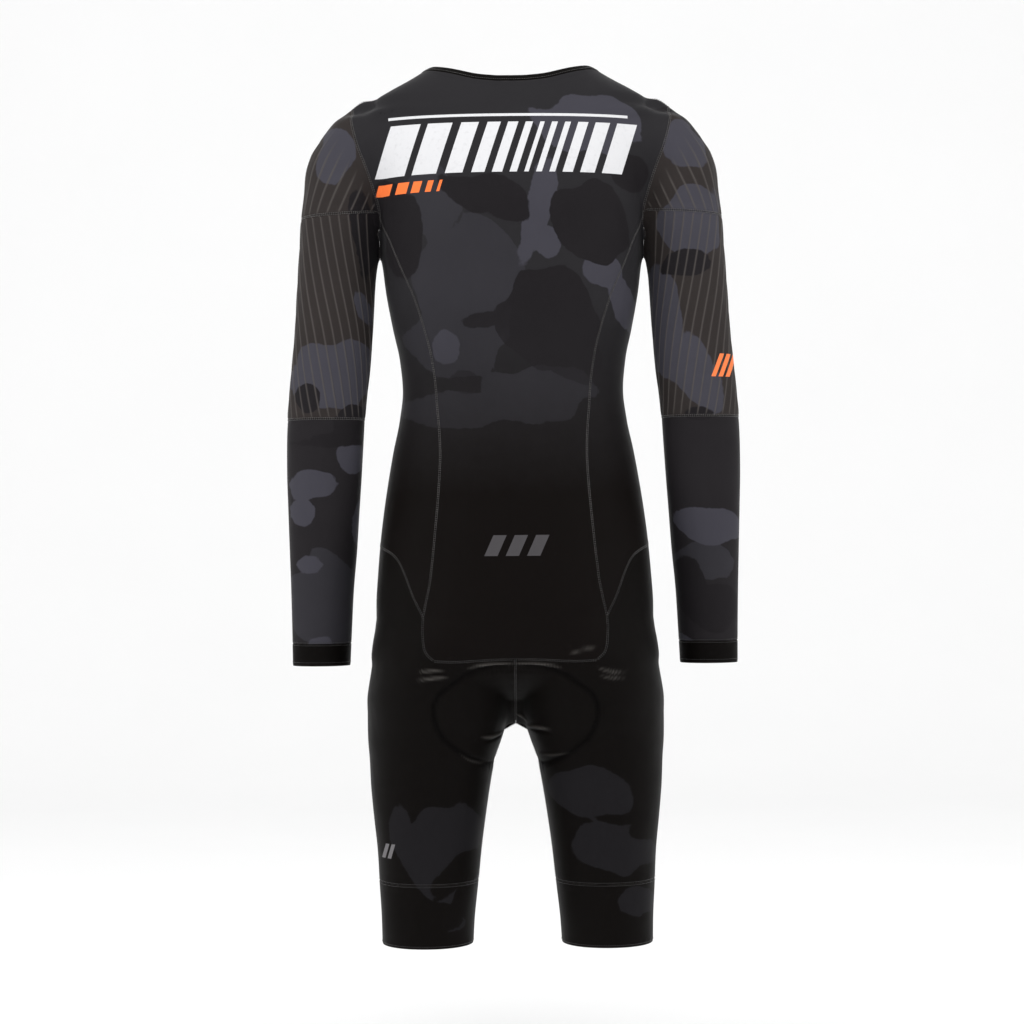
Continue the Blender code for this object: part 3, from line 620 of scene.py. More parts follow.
def leg_rows():
    """A leg panel, from its top edge down to the gripper, round the thigh from inseam to inseam."""
    columns, rows = (
        np.concatenate([cuts_of(10, fine, near_end=False)[:-1], 10 + cuts_of(more, FINE, near_start=False)])
        for fine, more in ((SEAT_FINE_COLUMNS, 21), (SEAT_FINE_ROWS, 4))
    )
    top = edge_of(columns, "-back_hem", "-corner", "hip", "waist")
    on_seat, on_inseam = rows[rows < 8], rows[rows >= 8] - 8
    lower = inseam(on_inseam)
    back_edge = np.concatenate([seam("seat", on_seat), lower])
    front_edge = np.concatenate([seam("fly", on_seat), lower])
    top[0], top[-1] = back_edge[0], front_edge[0]
    turn = np.pi + 2 * np.pi * columns / columns[-1]
    bottom = ring_points(leg_at, np.full(len(columns), float(GRIPPER_TOP_Z)), turn)
    back_edge[-1] = front_edge[-1] = bottom[0]
    return patch(back_edge, front_edge, top, bottom, columns / 31, rows / 14, hold=3.0)


def rib_columns():
    """Places round the cap and the sleeve's outer side, and how proud of the cloth the ribs are at each."""
    places, raised = [], []
    for middle in range(1, 20):
        for offset, height in RIB_PROFILE:
            places.append(middle + offset)
            raised.append(height)
    return np.array([0.0, *places, 19.5, 20.0]), np.array([0.0, *raised, 0.0, 0.0])


def cap_rows():
    """A sleeve's cap, from the seam across the upper arm up to the armhole."""
    columns, raised = rib_columns()
    v = cuts_of(CAP_ROWS, 2 * FINE)
    lower = seam("cap", columns)
    behind, before = columns[columns <= 10], columns[columns > 10]
    upper = np.concatenate([seam("armhole_back", 10 - behind), seam("armhole_front", 20 - before)])
    ends = [np.repeat(lower[end][None], len(v), axis=0) for end in (0, -1)]
    fade = 1 - np.interp(v / CAP_ROWS, RIB_FADE, (0, 1))
    return patch(*ends, lower, upper, columns / 20, v / CAP_ROWS), fade[:, None] * raised


def sleeve_rows():
    """An upper sleeve as closed rings, from the cap and the armpit down to the elbow seam."""
    ribbed, raised = rib_columns()
    under = cuts_of(8, FINE, near_start=False, near_end=False)[1:-1]
    columns = np.concatenate([ribbed, 20 + under])
    raised = np.concatenate([raised, 0 * under])
    top = np.concatenate([seam("cap", ribbed), seam("armhole_under", 8 - under)])
    x, y, z = top.T
    start = np.unwrap(np.arctan2(y - arm_at["centre_y"](z), x - arm_at["centre_x"](z)))
    even = start[0] + 2 * np.pi * columns / 28
    v = (cuts_of(SLEEVE_ROWS, FINE) / SLEEVE_ROWS)[:, None]
    height = (1 - v) * z + v * ELBOW_Z
    turn = (1 - v) * start + v * (even + SLEEVE_TWIST)
    rings = ring_points(arm_at, height.ravel(), turn.ravel()).reshape(len(v), -1, 3)
    rows = onto_form(rings, rounds=PATCH_ROUNDS)
    rows[0], rows[-1] = top, rings[-1]
    return rows, raised


def tube_rows(at, top, bottom, spans):
    """Level rings of an arm's or a leg's piece between two heights."""
    share = cuts_of(spans, FINE) / spans
    heights = top - SEAM_GAP / 2 + share * (bottom - top + SEAM_GAP)
    turn = -2 * np.pi * np.arange(LIMB_SIDES * FINE) / (LIMB_SIDES * FINE)
    return np.stack([ring_points(at, np.full(len(turn), z), turn) for z in heights])


# Folds of the worn cloth: side (-1 back, 1 front), both ends' x and z, bend, half width and height.
FOLDS = (
    (-1, -103, -648, -76, -647, 1, 1.9, 1.8),
    (-1, -105, -657, -72, -654, 1, 2.0, 2.0),
    (-1, -98, -652, -70, -651, 1, 1.7, -1.4),
    (-1, -50, -644, 0, -641, 3, 2.6, 2.2),
    (-1, -6, -641, 48, -644, 3, 2.6, 2.2),
    (-1, -44, -650, 36, -650, 3, 2.0, -1.6),
    (-1, 58, -629, 84, -624, 1, 1.9, 1.5),
    (-1, 30, -640, 92, -637, -2, 2.1, -1.5),
    (-1, 88, -644, 116, -650, -2, 2.0, 1.4),
    (-1, 90, -653, 116, -656, -1, 1.9, 1.2),
    (-1, -38, -720, -14, -717, -2, 2.0, 2.0),
    (-1, -36, -725, -12, -721, -2, 1.8, -1.4),
    (-1, 11, -711, 38, -712, 1, 2.0, 2.0),
    (-1, 14, -716, 40, -717, 1, 1.8, -1.5),
    (-1, 1, -699, 12, -705, 1, 3.0, 1.8),
    (-1, -60, -738, -22, -747, -6, 1.6, 1.2),
    (-1, 20, -740, 56, -738, -2, 1.6, 1.3),
    (-1, 150, -172, 134, -214, 4, 4.5, 1.1),
    (-1, 158, -182, 142, -232, 5, 3.6, -0.8),
    (-1, -150, -168, -136, -206, -4, 4.2, 1.2),
    (-1, -160, -178, -144, -238, -6, 4.0, -0.8),
    (-1, 176, -362, 214, -372, 6, 4.5, 1.0),
    (-1, 172, -378, 220, -388, 8, 5.5, -1.1),
    (-1, 178, -396, 212, -400, 5, 4.0, 0.8),
    (-1, -178, -358, -212, -370, -6, 4.0, 0.9),
    (-1, -172, -374, -222, -386, -8, 5.5, -1.2),
    (-1, -180, -394, -216, -402, -5, 4.2, 0.9),
    (-1, -74, -408, 2, -398, 7, 7.0, 0.7),
    (-1, 16, -372, 84, -384, -8, 8.0, 0.7),
    (-1, -50, -356, -6, -350, 5, 6.0, -0.5),
    (-1, 70, -800, 128, -792, 7, 7.0, 0.7),
    (-1, -132, -806, -74, -798, 6, 6.5, 0.7),
    (1, 18, -668, 84, -618, -9, 4.6, 1.6),
    (1, -16, -672, -76, -612, 10, 5.2, 1.5),
    (1, 24, -684, 92, -646, -8, 4.0, -1.2),
    (1, -22, -686, -96, -650, 9, 4.4, -1.1),
    (1, 20, -708, 66, -690, -5, 3.2, 1.2),
    (1, -18, -712, -58, -698, 5, 3.0, 1.1),
    (1, 151, -166, 132, -214, 5, 4.6, 1.2),
    (1, 160, -176, 146, -226, 5, 3.8, -0.9),
    (1, -151, -170, -134, -206, -5, 4.2, 1.1),
    (1, -160, -182, -148, -240, -5, 4.0, -0.8),
    (1, 172, -360, 222, -366, 8, 5.0, 1.4),
    (1, 170, -374, 226, -378, 6, 4.4, -1.3),
    (1, 174, -388, 218, -396, 7, 4.6, 1.2),
    (1, -170, -356, -216, -364, -8, 4.8, 1.3),
    (1, -172, -372, -226, -380, -7, 5.0, -1.4),
    (1, -178, -390, -216, -398, -6, 4.4, 1.1),
    (1, 30, -392, 96, -380, -9, 8.0, 0.9),
    (1, -96, -404, -22, -396, 8, 8.5, 0.8),
    (1, 24, -424, 82, -430, 6, 7.0, -0.7),
    (1, -84, -372, -30, -366, -6, 6.5, 0.7),
)

# The pad's edge on the wearer's right, from the back's middle round the inner thigh to the front's middle.
PAD_EDGE_LINE = (
    (0, -118, -645),
    (21, -117, -646),
    (38, -115, -648),
    (55, -111, -652),
    (70, -104, -660),
    (81, -97, -668.5),
    (86.5, -96, -680),
    (87.5, -94, -694),
    (84, -92, -708),
    (77, -86, -722),
    (64, -80, -733.5),
    (49, -66, -743),
    (36, -48, -749),
    (27, -24, -753),
    (26, 8, -748),
    (32, 36, -730),
    (38, 56, -702),
    (38, 72, -668),
    (33, 84, -636),
    (18, 91, -618),
    (0, 93, -614),
)

# The pad's edge through the cloth: its points, its groove's depth and half width, the half width of the painted
# shade along it, the distances from the front's middle between which it comes in, and the part of the form that
# has it.
RING_POINTS = 260
RING_DEPTH = 2.3
RING_HALF_WIDTH = 3.0
RING_SHADE_HALF_WIDTH = 3.2
RING_FRONT_FADE = (4, 22)
RING_HEIGHTS = (-770, -600)
RING_REACH = 110

# Soft swells on both sides: place, radius and height.
SWELLS = ((44, -106, -700, 30, 1.6), (30, -60, -726, 22, 1.0), (205, -62, -400, 40, -0.8))

# Camouflage: side (-1 back, 1 front), middle x and z, half width and height, tilt in degrees, and tone.
BLOTS = (
    (-1, 81, -65, 59, 34, -6, "light"),
    (-1, 116, -57, 29, 19, -10, "light"),
    (-1, 29, -156, 15, 61, -16, "light"),
    (-1, 38, -192, 16, 18, 0, "light"),
    (-1, -28, -140, 48, 20, -14, "dark"),
    (-1, -4, -158, 26, 13, -20, "dark"),
    (-1, -113, -185, 20, 43, -4, "dark"),
    (-1, -133, -147, 19, 29, 20, "dark"),
    (-1, 36, -272, 56, 53, -8, "dark"),
    (-1, 84, -171, 48, 42, -30, "dark"),
    (-1, -31, -274, 22, 9, 4, "dark"),
    (-1, 68, -313, 35, 26, -25, "dark"),
    (-1, 129, -115, 22, 19, 0, "dark"),
    (-1, 97, -222, 24, 20, -20, "light"),
    (-1, 118, -252, 15, 32, 20, "light"),
    (-1, -73, -302, 15, 19, 10, "light"),
    (-1, -50, -340, 18, 12, -25, "dark"),
    (-1, -85, -150, 30, 39, 10, "mid"),
    (-1, -47, -230, 61, 61, 0, "mid"),
    (-1, -60, -294, 55, 39, 0, "mid"),
    (-1, 24, -352, 64, 29, 0, "mid"),
    (-1, -47, -368, 83, 19, 0, "mid"),
    (-1, -189, -89, 20, 30, -8, "light"),
    (-1, 188, -83, 24, 30, 8, "light"),
    (-1, 196, -166, 35, 39, 0, "light"),
    (-1, -194, -327, 48, 37, 0, "light"),
    (-1, -161, -259, 7, 18, 20, "light"),
    (-1, -161, -171, 13, 51, 5, "dark"),
    (-1, -221, -353, 14, 17, -10, "dark"),
    (-1, -175, -379, 19, 15, 30, "dark"),
    (-1, -175, -418, 15, 19, 10, "light"),
    (-1, -214, -447, 31, 14, 2, "light"),
    (-1, -229, -476, 15, 15, 0, "light"),
    (-1, -226, -535, 15, 10, 0, "light"),
    (-1, -216, -621, 15, 7, 5, "light"),
    (-1, -206, -580, 47, 55, 0, "mid"),
    (-1, -201, -400, 42, 7, 0, "dark"),
    (-1, 187, -212, 30, 14, 4, "dark"),
    (-1, 165, -269, 18, 64, 6, "light"),
    (-1, 199, -331, 23, 47, 28, "light"),
    (-1, 198, -375, 18, 9, 0, "dark"),
    (-1, 211, -494, 39, 19, -6, "light"),
    (-1, 204, -534, 37, 20, -8, "mid"),
    (-1, 192, -561, 18, 40, 12, "dark"),
    (-1, 221, -585, 27, 27, 0, "dark"),
    (-1, -125, -816, 12, 27, 2, "light"),
    (-1, -79, -844, 49, 49, 0, "mid"),
    (-1, -61, -868, 33, 16, 32, "dark"),
    (-1, -99, -919, 33, 19, 0, "dark"),
    (-1, -112, -932, 18, 15, 0, "dark"),
    (-1, -74, -924, 15, 8, 0, "mid"),
    (-1, 86, -780, 44, 28, -6, "mid"),
    (-1, 105, -842, 44, 28, -10, "mid"),
    (-1, 139, -825, 21, 10, 0, "dark"),
    (-1, 94, -873, 19, 8, -12, "dark"),
    (-1, 71, -898, 22, 19, 0, "dark"),
    (-1, 130, -901, 22, 15, 0, "mid"),
    (-1, 142, -929, 14, 12, 0, "dark"),
)
TONES = ("mid", "light", "dark")

# The front's scattered marks: how many, the seed of their places, and how many lobes each has.
FRONT_BLOTS = 34
FRONT_SEED = 11
LOBES = 3

# The print on the upper back, in metres: its lean, its row's ends and shift, and the heights of its parts.
PRINT_LEAN = 0.32
ROW_ENDS = (-0.2, 0.2)
ROW_SHIFT = -0.036
WHITE_HEIGHTS = (-0.118, -0.062)
LINE_HEIGHTS = (-0.0555, -0.0525)
LINE_SIDES = (-0.132, 0.126)
ORANGE_HEIGHTS = (-0.137, -0.125)
# Its bars, in millimetres, by their left and right ends along the slanted row.
WHITE_BARS = (
    (-146, -114),
    (-105, -79),
    (-70, -50),
    (-42, -27),
    (-19, -8),
    (0, 7),
    (15, 20),
    (28, 33),
    (41, 48),
    (56, 67),
    (75, 90),
    (98, 119),
)
ORANGE_BARS = ((-140, -124), (-118, -106), (-100, -91), (-85, -79), (-73, -70))

# Small rows of slanted bars: left, right, low, high, lean, how many and colour. MARK_DUTY is a bar's share.
MARK_DUTY = 0.62
SEAT_MARKS = ((-32, 36, -525, -503, 0.45, 3, rgb(68, 66, 68)),)
ELBOW_MARKS = ((214, 238, -334, -309, 0.4, 3, rgb(228, 122, 72)),)
HEM_MARKS = ((-147, -134, -853, -837, 0.3, 2, rgb(104, 102, 104)),)


# How many points a fold's line has, the widest fold whose crest gets a painted highlight, the fold height at
# which that highlight is full, and how far from the middle plane a line starts before it settles on the form.
FOLD_POINTS = 17
NARROW = 3.5
FULL_HIGHLIGHT_HEIGHT = 1.8
FIRST_Y = 110


def fold_lines():
    """Each fold's line on the form, with its half width and height, tapering to nothing at both ends."""
    found = []
    for side, x1, z1, x2, z2, bend, half_width, height in FOLDS:
        t = np.linspace(0, 1, FOLD_POINTS)
        across = np.array([-(z2 - z1), x2 - x1]) / math.hypot(x2 - x1, z2 - z1)
        bow = bend * 4 * t * (1 - t)
        x = x1 + (x2 - x1) * t + across[0] * bow
        z = z1 + (z2 - z1) * t + across[1] * bow
        line = np.stack([x, np.full(len(t), float(side * FIRST_Y)), z], axis=1)
        fade = np.sin(np.pi * np.clip(t, 0.02, 0.98)) ** 0.6
        found.append((settle_along_y(line), half_width * (0.6 + 0.4 * fade), height * fade))
    return found


def pad_outline():
    """The seat pad's edge as it shows through the cloth, as one closed line on the form."""
    half = onto_form(spread(np.array(PAD_EDGE_LINE, float), RING_POINTS))
    return np.concatenate([half, mirrored(half)[-2:0:-1]])


def spread(points, count):
    """Points evenly along a line of straight stretches."""
    return points_along(points, np.linspace(0, 1, count + 1))


relief = {}


def near_folds(flat, widest=math.inf, lowest=-math.inf):
    """For each fold that some points lie near: their numbers, its height there and its bell-shaped share."""
    if "folds" not in relief:
        relief["folds"] = fold_lines()
    for line, width, height in relief["folds"]:
        if width.max() > widest or height.max() <= lowest:
            continue
        reach = 3 * width.max()
        near = np.flatnonzero(((flat > line.min(0) - reach) & (flat < line.max(0) + reach)).all(1))
        if len(near):
            gap = np.linalg.norm(flat[near, None] - line[None], axis=2)
            at = gap.argmin(1)
            yield near, height[at], np.exp(-((gap[np.arange(len(near)), at] / width[at]) ** 2))


def crest_highlight_field(points):
    """1 on the crests of the narrow folds, where a painted highlight goes, and falling to 0 beside them."""
    flat = points.reshape(-1, 3)
    found = np.zeros(len(flat))
    for near, height, share in near_folds(flat, widest=NARROW, lowest=0):
        found[near] = np.maximum(found[near], height / FULL_HIGHLIGHT_HEIGHT * share**2)
    return np.clip(found, 0, 1).reshape(points.shape[:-1])


def fold_field(points):
    """How far the cloth is raised at each point by its folds and by the pad under it, in millimetres."""
    flat = points.reshape(-1, 3)
    raised = np.zeros(len(flat))
    for near, height, share in near_folds(flat):
        raised[near] += height * share
    raised -= RING_DEPTH * ring_field(flat, RING_HALF_WIDTH)
    for x, y, z, radius, height in SWELLS:
        for sign in (1, -1):
            gap = np.linalg.norm(flat - np.array([sign * x, y, z]), axis=1)
            raised += height * np.exp(-((gap / radius) ** 2))
    return raised.reshape(points.shape[:-1])


def ring_field(points, half_width):
    """1 on the pad's edge line and falling to 0 beside it. It fades towards the front's middle seam."""
    if "ring" not in relief:
        relief["ring"] = pad_outline()
        relief["ring_tree"] = KDTree(len(relief["ring"]))
        for number, point in enumerate(relief["ring"]):
            relief["ring_tree"].insert(point, number)
        relief["ring_tree"].balance()
    flat = points.reshape(-1, 3)
    found = np.zeros(len(flat))
    low, high = RING_HEIGHTS
    for at in np.flatnonzero((flat[:, 2] < high) & (flat[:, 2] > low) & (np.abs(flat[:, 0]) < RING_REACH)):
        gap = relief["ring_tree"].find(flat[at])[2]
        found[at] = math.exp(-((gap / half_width) ** 2))
    beside = np.interp(np.abs(flat[:, 0]), RING_FRONT_FADE, (0, 1))
    found *= np.where(flat[:, 1] > 0, beside, 1)
    return found.reshape(points.shape[:-1])


def settle_along_y(line, rounds=24):
    """Points moved along Y only, from outside, until they lie on the form."""
    made = np.array(line, float)
    for _ in range(rounds):
        slope = slope_of(made)[:, 1]
        slope = np.where(np.abs(slope) < 0.25, 0.25 * np.sign(slope + TINY), slope)
        made[:, 1] -= np.clip(form(made) / slope, -12, 12)
    return made


def front_blots():
    """Marks of the same kind on the hidden front, scattered over the body, the arms and the legs."""
    draw = np.random.default_rng(FRONT_SEED)
    found = []
    for _ in range(FRONT_BLOTS):
        x, z = draw.uniform(-240, 240), draw.uniform(-940, -10)
        size, tilt = draw.uniform(18, 44), draw.uniform(-60, 60)
        tone = TONES[draw.integers(len(TONES))]
        for _ in range(LOBES):
            part, shape = size * draw.uniform(0.55, 1.0), draw.uniform(0.5, 0.95)
            found.append((1, x, z, part, part * shape, tilt + draw.uniform(-30, 30), tone))
            x, z = x + draw.uniform(-0.9, 0.9) * size, z + draw.uniform(-0.9, 0.9) * size
    return found


def blot_fields(points):
    """The camouflage's marks: about how far inside one of each tone every point lies, in millimetres."""
    flat = points.reshape(-1, 3)
    x, y, z = flat.T
    stray = 7 * np.sin(x / 17 + 1.3 * np.sin(z / 29)) * np.sin(z / 21 + 0.8)
    stray = stray + 4 * np.sin(x / 8.5 + z / 11 + y / 30)
    fields = {tone: np.full(len(flat), -200.0) for tone in TONES}
    for side, cx, cz, half_width, half_height, tilt, tone in (*BLOTS, *front_blots()):
        turn = math.radians(tilt)
        across = (x - cx) * math.cos(turn) + (z - cz) * math.sin(turn)
        up = (z - cz) * math.cos(turn) - (x - cx) * math.sin(turn)
        deep = np.maximum(-side * y, 0) / 30
        size = min(half_width, half_height)
        inside = size * (1 - np.sqrt((across / half_width) ** 2 + (up / half_height) ** 2 + deep**2))
        fields[tone] = np.maximum(fields[tone], inside + stray * min(1, size / 45))
    return {tone: field.reshape(points.shape[:-1]) for tone, field in fields.items()}


def edge_distance(rows, closed):
    """How far each point lies from its piece's nearest edge, along its rows or columns."""
    up = np.linalg.norm(np.diff(rows, axis=0), axis=2)
    from_bottom = np.concatenate([np.zeros((1, rows.shape[1])), np.cumsum(up, axis=0)])
    found = np.minimum(from_bottom, from_bottom[-1:] - from_bottom)
    if not closed:
        across = np.linalg.norm(np.diff(rows, axis=1), axis=2)
        from_left = np.concatenate([np.zeros((rows.shape[0], 1)), np.cumsum(across, axis=1)], axis=1)
        found = np.minimum(found, np.minimum(from_left, from_left[:, -1:] - from_left))
    return found


# How far and how widely the cloth dips at a seam, how much wider and longer it is worn than cut, and the
# distance from an edge beyond which it doesn't matter.
SEAM_DIP = 0.35
DIP_REACH = 1.3
WORN_WIDER = 1.18
WORN_LONGER = 1.05
FAR_FROM_EDGE = 40.0


def add_shell(name, outer, inner, finish, marks, closed=False):
    """A closed wall between two sheets of points. marks has named values for the points of each sheet."""
    rows, columns = outer.shape[:2]
    count = rows * columns
    index = np.arange(count).reshape(rows, columns)
    if closed:
        index = np.concatenate([index, index[:, :1]], axis=1)
    quads = np.stack([index[:-1, :-1], index[:-1, 1:], index[1:, 1:], index[1:, :-1]], axis=-1).reshape(-1, 4)
    rims = [index[0], index[-1]]
    if not closed:
        rims += [index[:, 0], index[:, -1]]
    faces = [quads, quads[:, ::-1] + count]
    for line in rims:
        faces.append(np.stack([line[:-1], line[1:], line[1:] + count, line[:-1] + count], axis=-1))
    mesh = bpy.data.meshes.new(name)
    points = np.concatenate([outer.reshape(-1, 3), inner.reshape(-1, 3)]) * MM
    mesh.from_pydata(points.tolist(), [], np.concatenate(faces).tolist())
    for mark, values in marks.items():
        layer = mesh.attributes.new(mark, "FLOAT", "POINT")
        layer.data.foreach_set("value", np.concatenate([values.ravel(), values.ravel()]).astype(np.float32))
    layer = mesh.attributes.new("inside", "FLOAT", "POINT")
    layer.data.foreach_set("value", np.repeat([0.0, 1.0], count).astype(np.float32))
    return finish_mesh(name, mesh, finish)


def finish_mesh(name, mesh, finish, sharp=50):
    """An object from a mesh, with double points merged, faces turned outward and smooth shading."""
    solid = bmesh.new()
    solid.from_mesh(mesh)
    bmesh.ops.remove_doubles(solid, verts=solid.verts, dist=SAME_POINT * MM)
    bmesh.ops.recalc_face_normals(solid, faces=solid.faces)
    solid.to_mesh(mesh)
    solid.free()
    mesh.materials.append(finish)
    mesh.shade_smooth()
    mesh.set_sharp_from_angle(angle=math.radians(sharp))
    obj = bpy.data.objects.new(name, mesh)
    bpy.context.scene.collection.objects.link(obj)
    return obj


def lay_cloth(name, node, rows, finish, thick=CLOTH, raised=0.0, closed=False):
    """The cloth that stands for a solid, on the given rows of points."""
    rows = drawn_in(rows) if closed else inset(rows)
    normal = normals_at(rows)
    edge = edge_distance(rows, closed)
    lift = fold_field(rows) - SEAM_DIP * np.exp(-((edge / DIP_REACH) ** 2))
    ribs = raised * np.clip(edge / 4, 0, 1)
    marks = {
        "edge": np.minimum(edge, FAR_FROM_EDGE),
        "rib": np.clip(ribs / 0.5, 0, 1),
        # The ring mark places the painted shade along the pad's edge.
        "ring": ring_field(rows, RING_SHADE_HALF_WIDTH),
        # The crest mark places the painted highlight on the narrow folds' crests.
        "crest_highlight": crest_highlight_field(rows),
        **blot_fields(rows),
    }
    outer = rows + normal * (lift + ribs)[..., None]
    inner = rows + normal * (lift - thick)[..., None]
    obj = add_shell(name, outer, inner, finish, marks, closed)
    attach(obj, "garment")
    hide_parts(node)
    width, length, area = cut_of(rows, closed)


class Nodes:
    """A material's nodes, made by short calls that take values or other nodes' outputs."""

    def __init__(self, name, roughness, **fixed):
        self.material = bpy.data.materials.new(name)
        self.material.use_nodes = True
        self.tree = self.material.node_tree
        self.shader = self.tree.nodes["Principled BSDF"]
        self.shader.inputs["Roughness"].default_value = roughness
        for socket, value in fixed.items():
            self.shader.inputs[socket.replace("_", " ")].default_value = value

    def add(self, kind, inputs=(), output=0, **settings):
        """A new node's output, with its inputs and settings filled in."""
        made = self.tree.nodes.new("ShaderNode" + kind)
        for key, value in settings.items():
            setattr(made, key, value)
        for key, value in dict(inputs).items():
            self.set(made.inputs[key], value)
        return made.outputs[output]

    def set(self, socket, value):
        """Link or set an input socket."""
        if isinstance(value, bpy.types.NodeSocket):
            self.tree.links.new(value, socket)
        else:
            socket.default_value = value

    def maths(self, operation, *values):
        return self.add("Math", enumerate(values), operation=operation)

    def mark(self, name):
        return self.add("Attribute", output="Fac", attribute_name=name)

    def place(self):
        return self.add("TexCoord", output="Object")

    def noise(self, scale, detail, stretch=(1, 1, 1)):
        at = self.place()
        if stretch != (1, 1, 1):
            at = self.add("Mapping", {"Vector": at, "Scale": stretch})
        return self.add("TexNoise", {"Vector": at, "Scale": scale, "Detail": detail}, output="Fac")

    def ramp(self, value, low, high, to_low=0.0, to_high=1.0):
        ends = {"From Min": low, "From Max": high, "To Min": to_low, "To Max": to_high}
        return self.add("MapRange", {"Value": value, **ends})

    def mix(self, share, a, b):
        made = self.tree.nodes.new("ShaderNodeMix")
        made.data_type = "RGBA"
        for socket, value in zip((made.inputs[0], made.inputs[6], made.inputs[7]), (share, a, b)):
            self.set(socket, value)
        return made.outputs[2]

    def scaled(self, colour, factor):
        made = self.tree.nodes.new("ShaderNodeVectorMath")
        made.operation = "SCALE"
        self.set(made.inputs[0], colour)
        self.set(made.inputs["Scale"], factor)
        return made.outputs[0]

    def bump(self, *heights):
        """Bumps laid over one another, each a height's output and its depth in metres."""
        normal = None
        for height, depth in heights:
            inputs = {"Height": height, "Distance": depth, "Strength": 1.0}
            if normal is not None:
                inputs["Normal"] = normal
            normal = self.add("Bump", inputs)
        self.set(self.shader.inputs["Normal"], normal)


# The knit's colours, as screens show them: the body's upper and lower part, camouflage tones, legs, arms, ribs,
# the painted shade along the pad's edge, the painted highlight on crests of folds, the inside and the print.
UPPER = rgb(38, 37, 39)
LOWER = rgb(13, 10, 9)
LIGHT = rgb(60, 59, 66)
MID = rgb(46, 45, 49)
DARK = rgb(30, 28, 30)
LEG_LOWER = rgb(11, 9, 8)
LEG_MID = rgb(25, 24, 26)
ARM = rgb(34, 32, 34)
RIB = rgb(76, 72, 70)
RIBBED = rgb(45, 41, 40)
# Painted shade for the line along the pad's edge.
RING_SHADE = rgb(4, 3, 3)
# Painted highlight for the crests of the narrow folds.
CREST_HIGHLIGHT = rgb(92, 89, 86)
INSIDE = rgb(26, 25, 27)
WHITE = rgb(206, 206, 208)
ORANGE = rgb(236, 118, 62)
CAMO = {"mid": MID, "light": LIGHT, "dark": DARK}
LEG_CAMO = {"mid": LEG_MID, "light": LEG_MID, "dark": LEG_LOWER}

# Heights in metres between which the upper colour and the camouflage come in. ALWAYS is below the suit.
BODY_FADE = (-0.46, -0.25)
ALWAYS = (-3.0, -2.0)
ROUGHNESS = 0.55
KNIT_ROUGHNESS = (ROUGHNESS - 0.05, ROUGHNESS + 0.07)


def knit_material(name, upper, lower, camo=CAMO, fade=ALWAYS, printed=False, marks=()):
    """Warp-knit cloth with its print, soft sheen, seam pucker, slight wear at its edges, painted shade along
    the pad's edge and painted highlights on fold crests.
    """
    n = Nodes(name, ROUGHNESS, Specular_IOR_Level=0.03, Sheen_Weight=0.07, Sheen_Roughness=0.28)
    separate = n.tree.nodes.new("ShaderNodeSeparateXYZ")
    n.set(separate.inputs[0], n.place())
    x, y, z = (separate.outputs[axis] for axis in "XYZ")
    fray = n.maths("MULTIPLY", n.maths("SUBTRACT", n.noise(90, 2), 0.5), 5.0)
    share = n.ramp(n.maths("ADD", z, n.maths("MULTIPLY", fray, 0.004)), *fade)
    colour = n.mix(share, lower, upper)
    for mark, tone in camo.items():
        mask = n.ramp(n.maths("ADD", n.mark(mark), fray), -0.5, 0.5)
        colour = n.mix(n.maths("MULTIPLY", mask, share), colour, tone)
    colour = n.mix(n.maths("MULTIPLY", n.mark("rib"), 0.6), colour, RIB)
    colour = n.scaled(colour, n.ramp(n.noise(14, 4), 0.3, 0.7, 0.95, 1.05))
    if printed:
        colour = add_print(n, colour, x, y, z)
    for row in marks:
        colour = add_mark(n, colour, (x, y, z), *row)
    edge = n.mark("edge")
    worn = n.maths("MULTIPLY", n.ramp(edge, 0.2, 2.0, 1.0, 0.0), n.ramp(n.noise(160, 2), 0.35, 0.7))
    colour = n.mix(n.maths("MULTIPLY", worn, 0.18), colour, RIB)
    # Painted shade: a near-black line along the pad's edge, in the groove there.
    colour = n.mix(n.maths("MULTIPLY", n.mark("ring"), 0.85), colour, RING_SHADE)
    # Painted highlight: a lighter tone on the crests of the narrow folds.
    colour = n.mix(n.maths("MULTIPLY", n.mark("crest_highlight"), 0.55), colour, CREST_HIGHLIGHT)
    colour = n.mix(n.mark("inside"), colour, INSIDE)
    n.set(n.shader.inputs["Base Color"], colour)
    n.set(n.shader.inputs["Roughness"], n.ramp(n.noise(30, 3), 0.25, 0.75, *KNIT_ROUGHNESS))
    loops = n.add(
        "TexWave",
        {"Vector": n.place(), "Scale": 260.0, "Distortion": 1.5, "Detail": 1.0},
        output="Fac",
        bands_direction="X",
    )
    courses = n.add(
        "TexWave", {"Vector": n.place(), "Scale": 300.0, "Distortion": 1.0}, output="Fac", bands_direction="Z"
    )
    pucker = n.maths("MULTIPLY", n.noise(110, 2, (1, 1, 0.7)), n.ramp(edge, 0.0, 9.0, 1.0, 0.0))
    slack = n.noise(18, 2, (1, 1, 0.35))
    n.bump((n.maths("ADD", loops, courses), 0.00006), (pucker, 0.0011), (slack, 0.0014))
    return n.material


def add_mark(n, colour, at, left, right, low, high, lean, bars, tone):
    """A short row of slanted bars on the back, between two sides and two heights in millimetres."""
    x, y, z = at
    along = n.maths("ADD", x, n.maths("MULTIPLY", n.maths("SUBTRACT", z, low * MM), -lean))
    pitch = (right - left) * MM / bars
    place = n.maths("FRACT", n.maths("DIVIDE", n.maths("SUBTRACT", along, left * MM), pitch))
    shown = n.maths("MULTIPLY", within(n, along, left * MM, right * MM), within(n, z, low * MM, high * MM))
    shown = n.maths("MULTIPLY", n.maths("LESS_THAN", place, MARK_DUTY), shown)
    return n.mix(n.maths("MULTIPLY", n.maths("LESS_THAN", y, 0.0), shown), colour, tone)


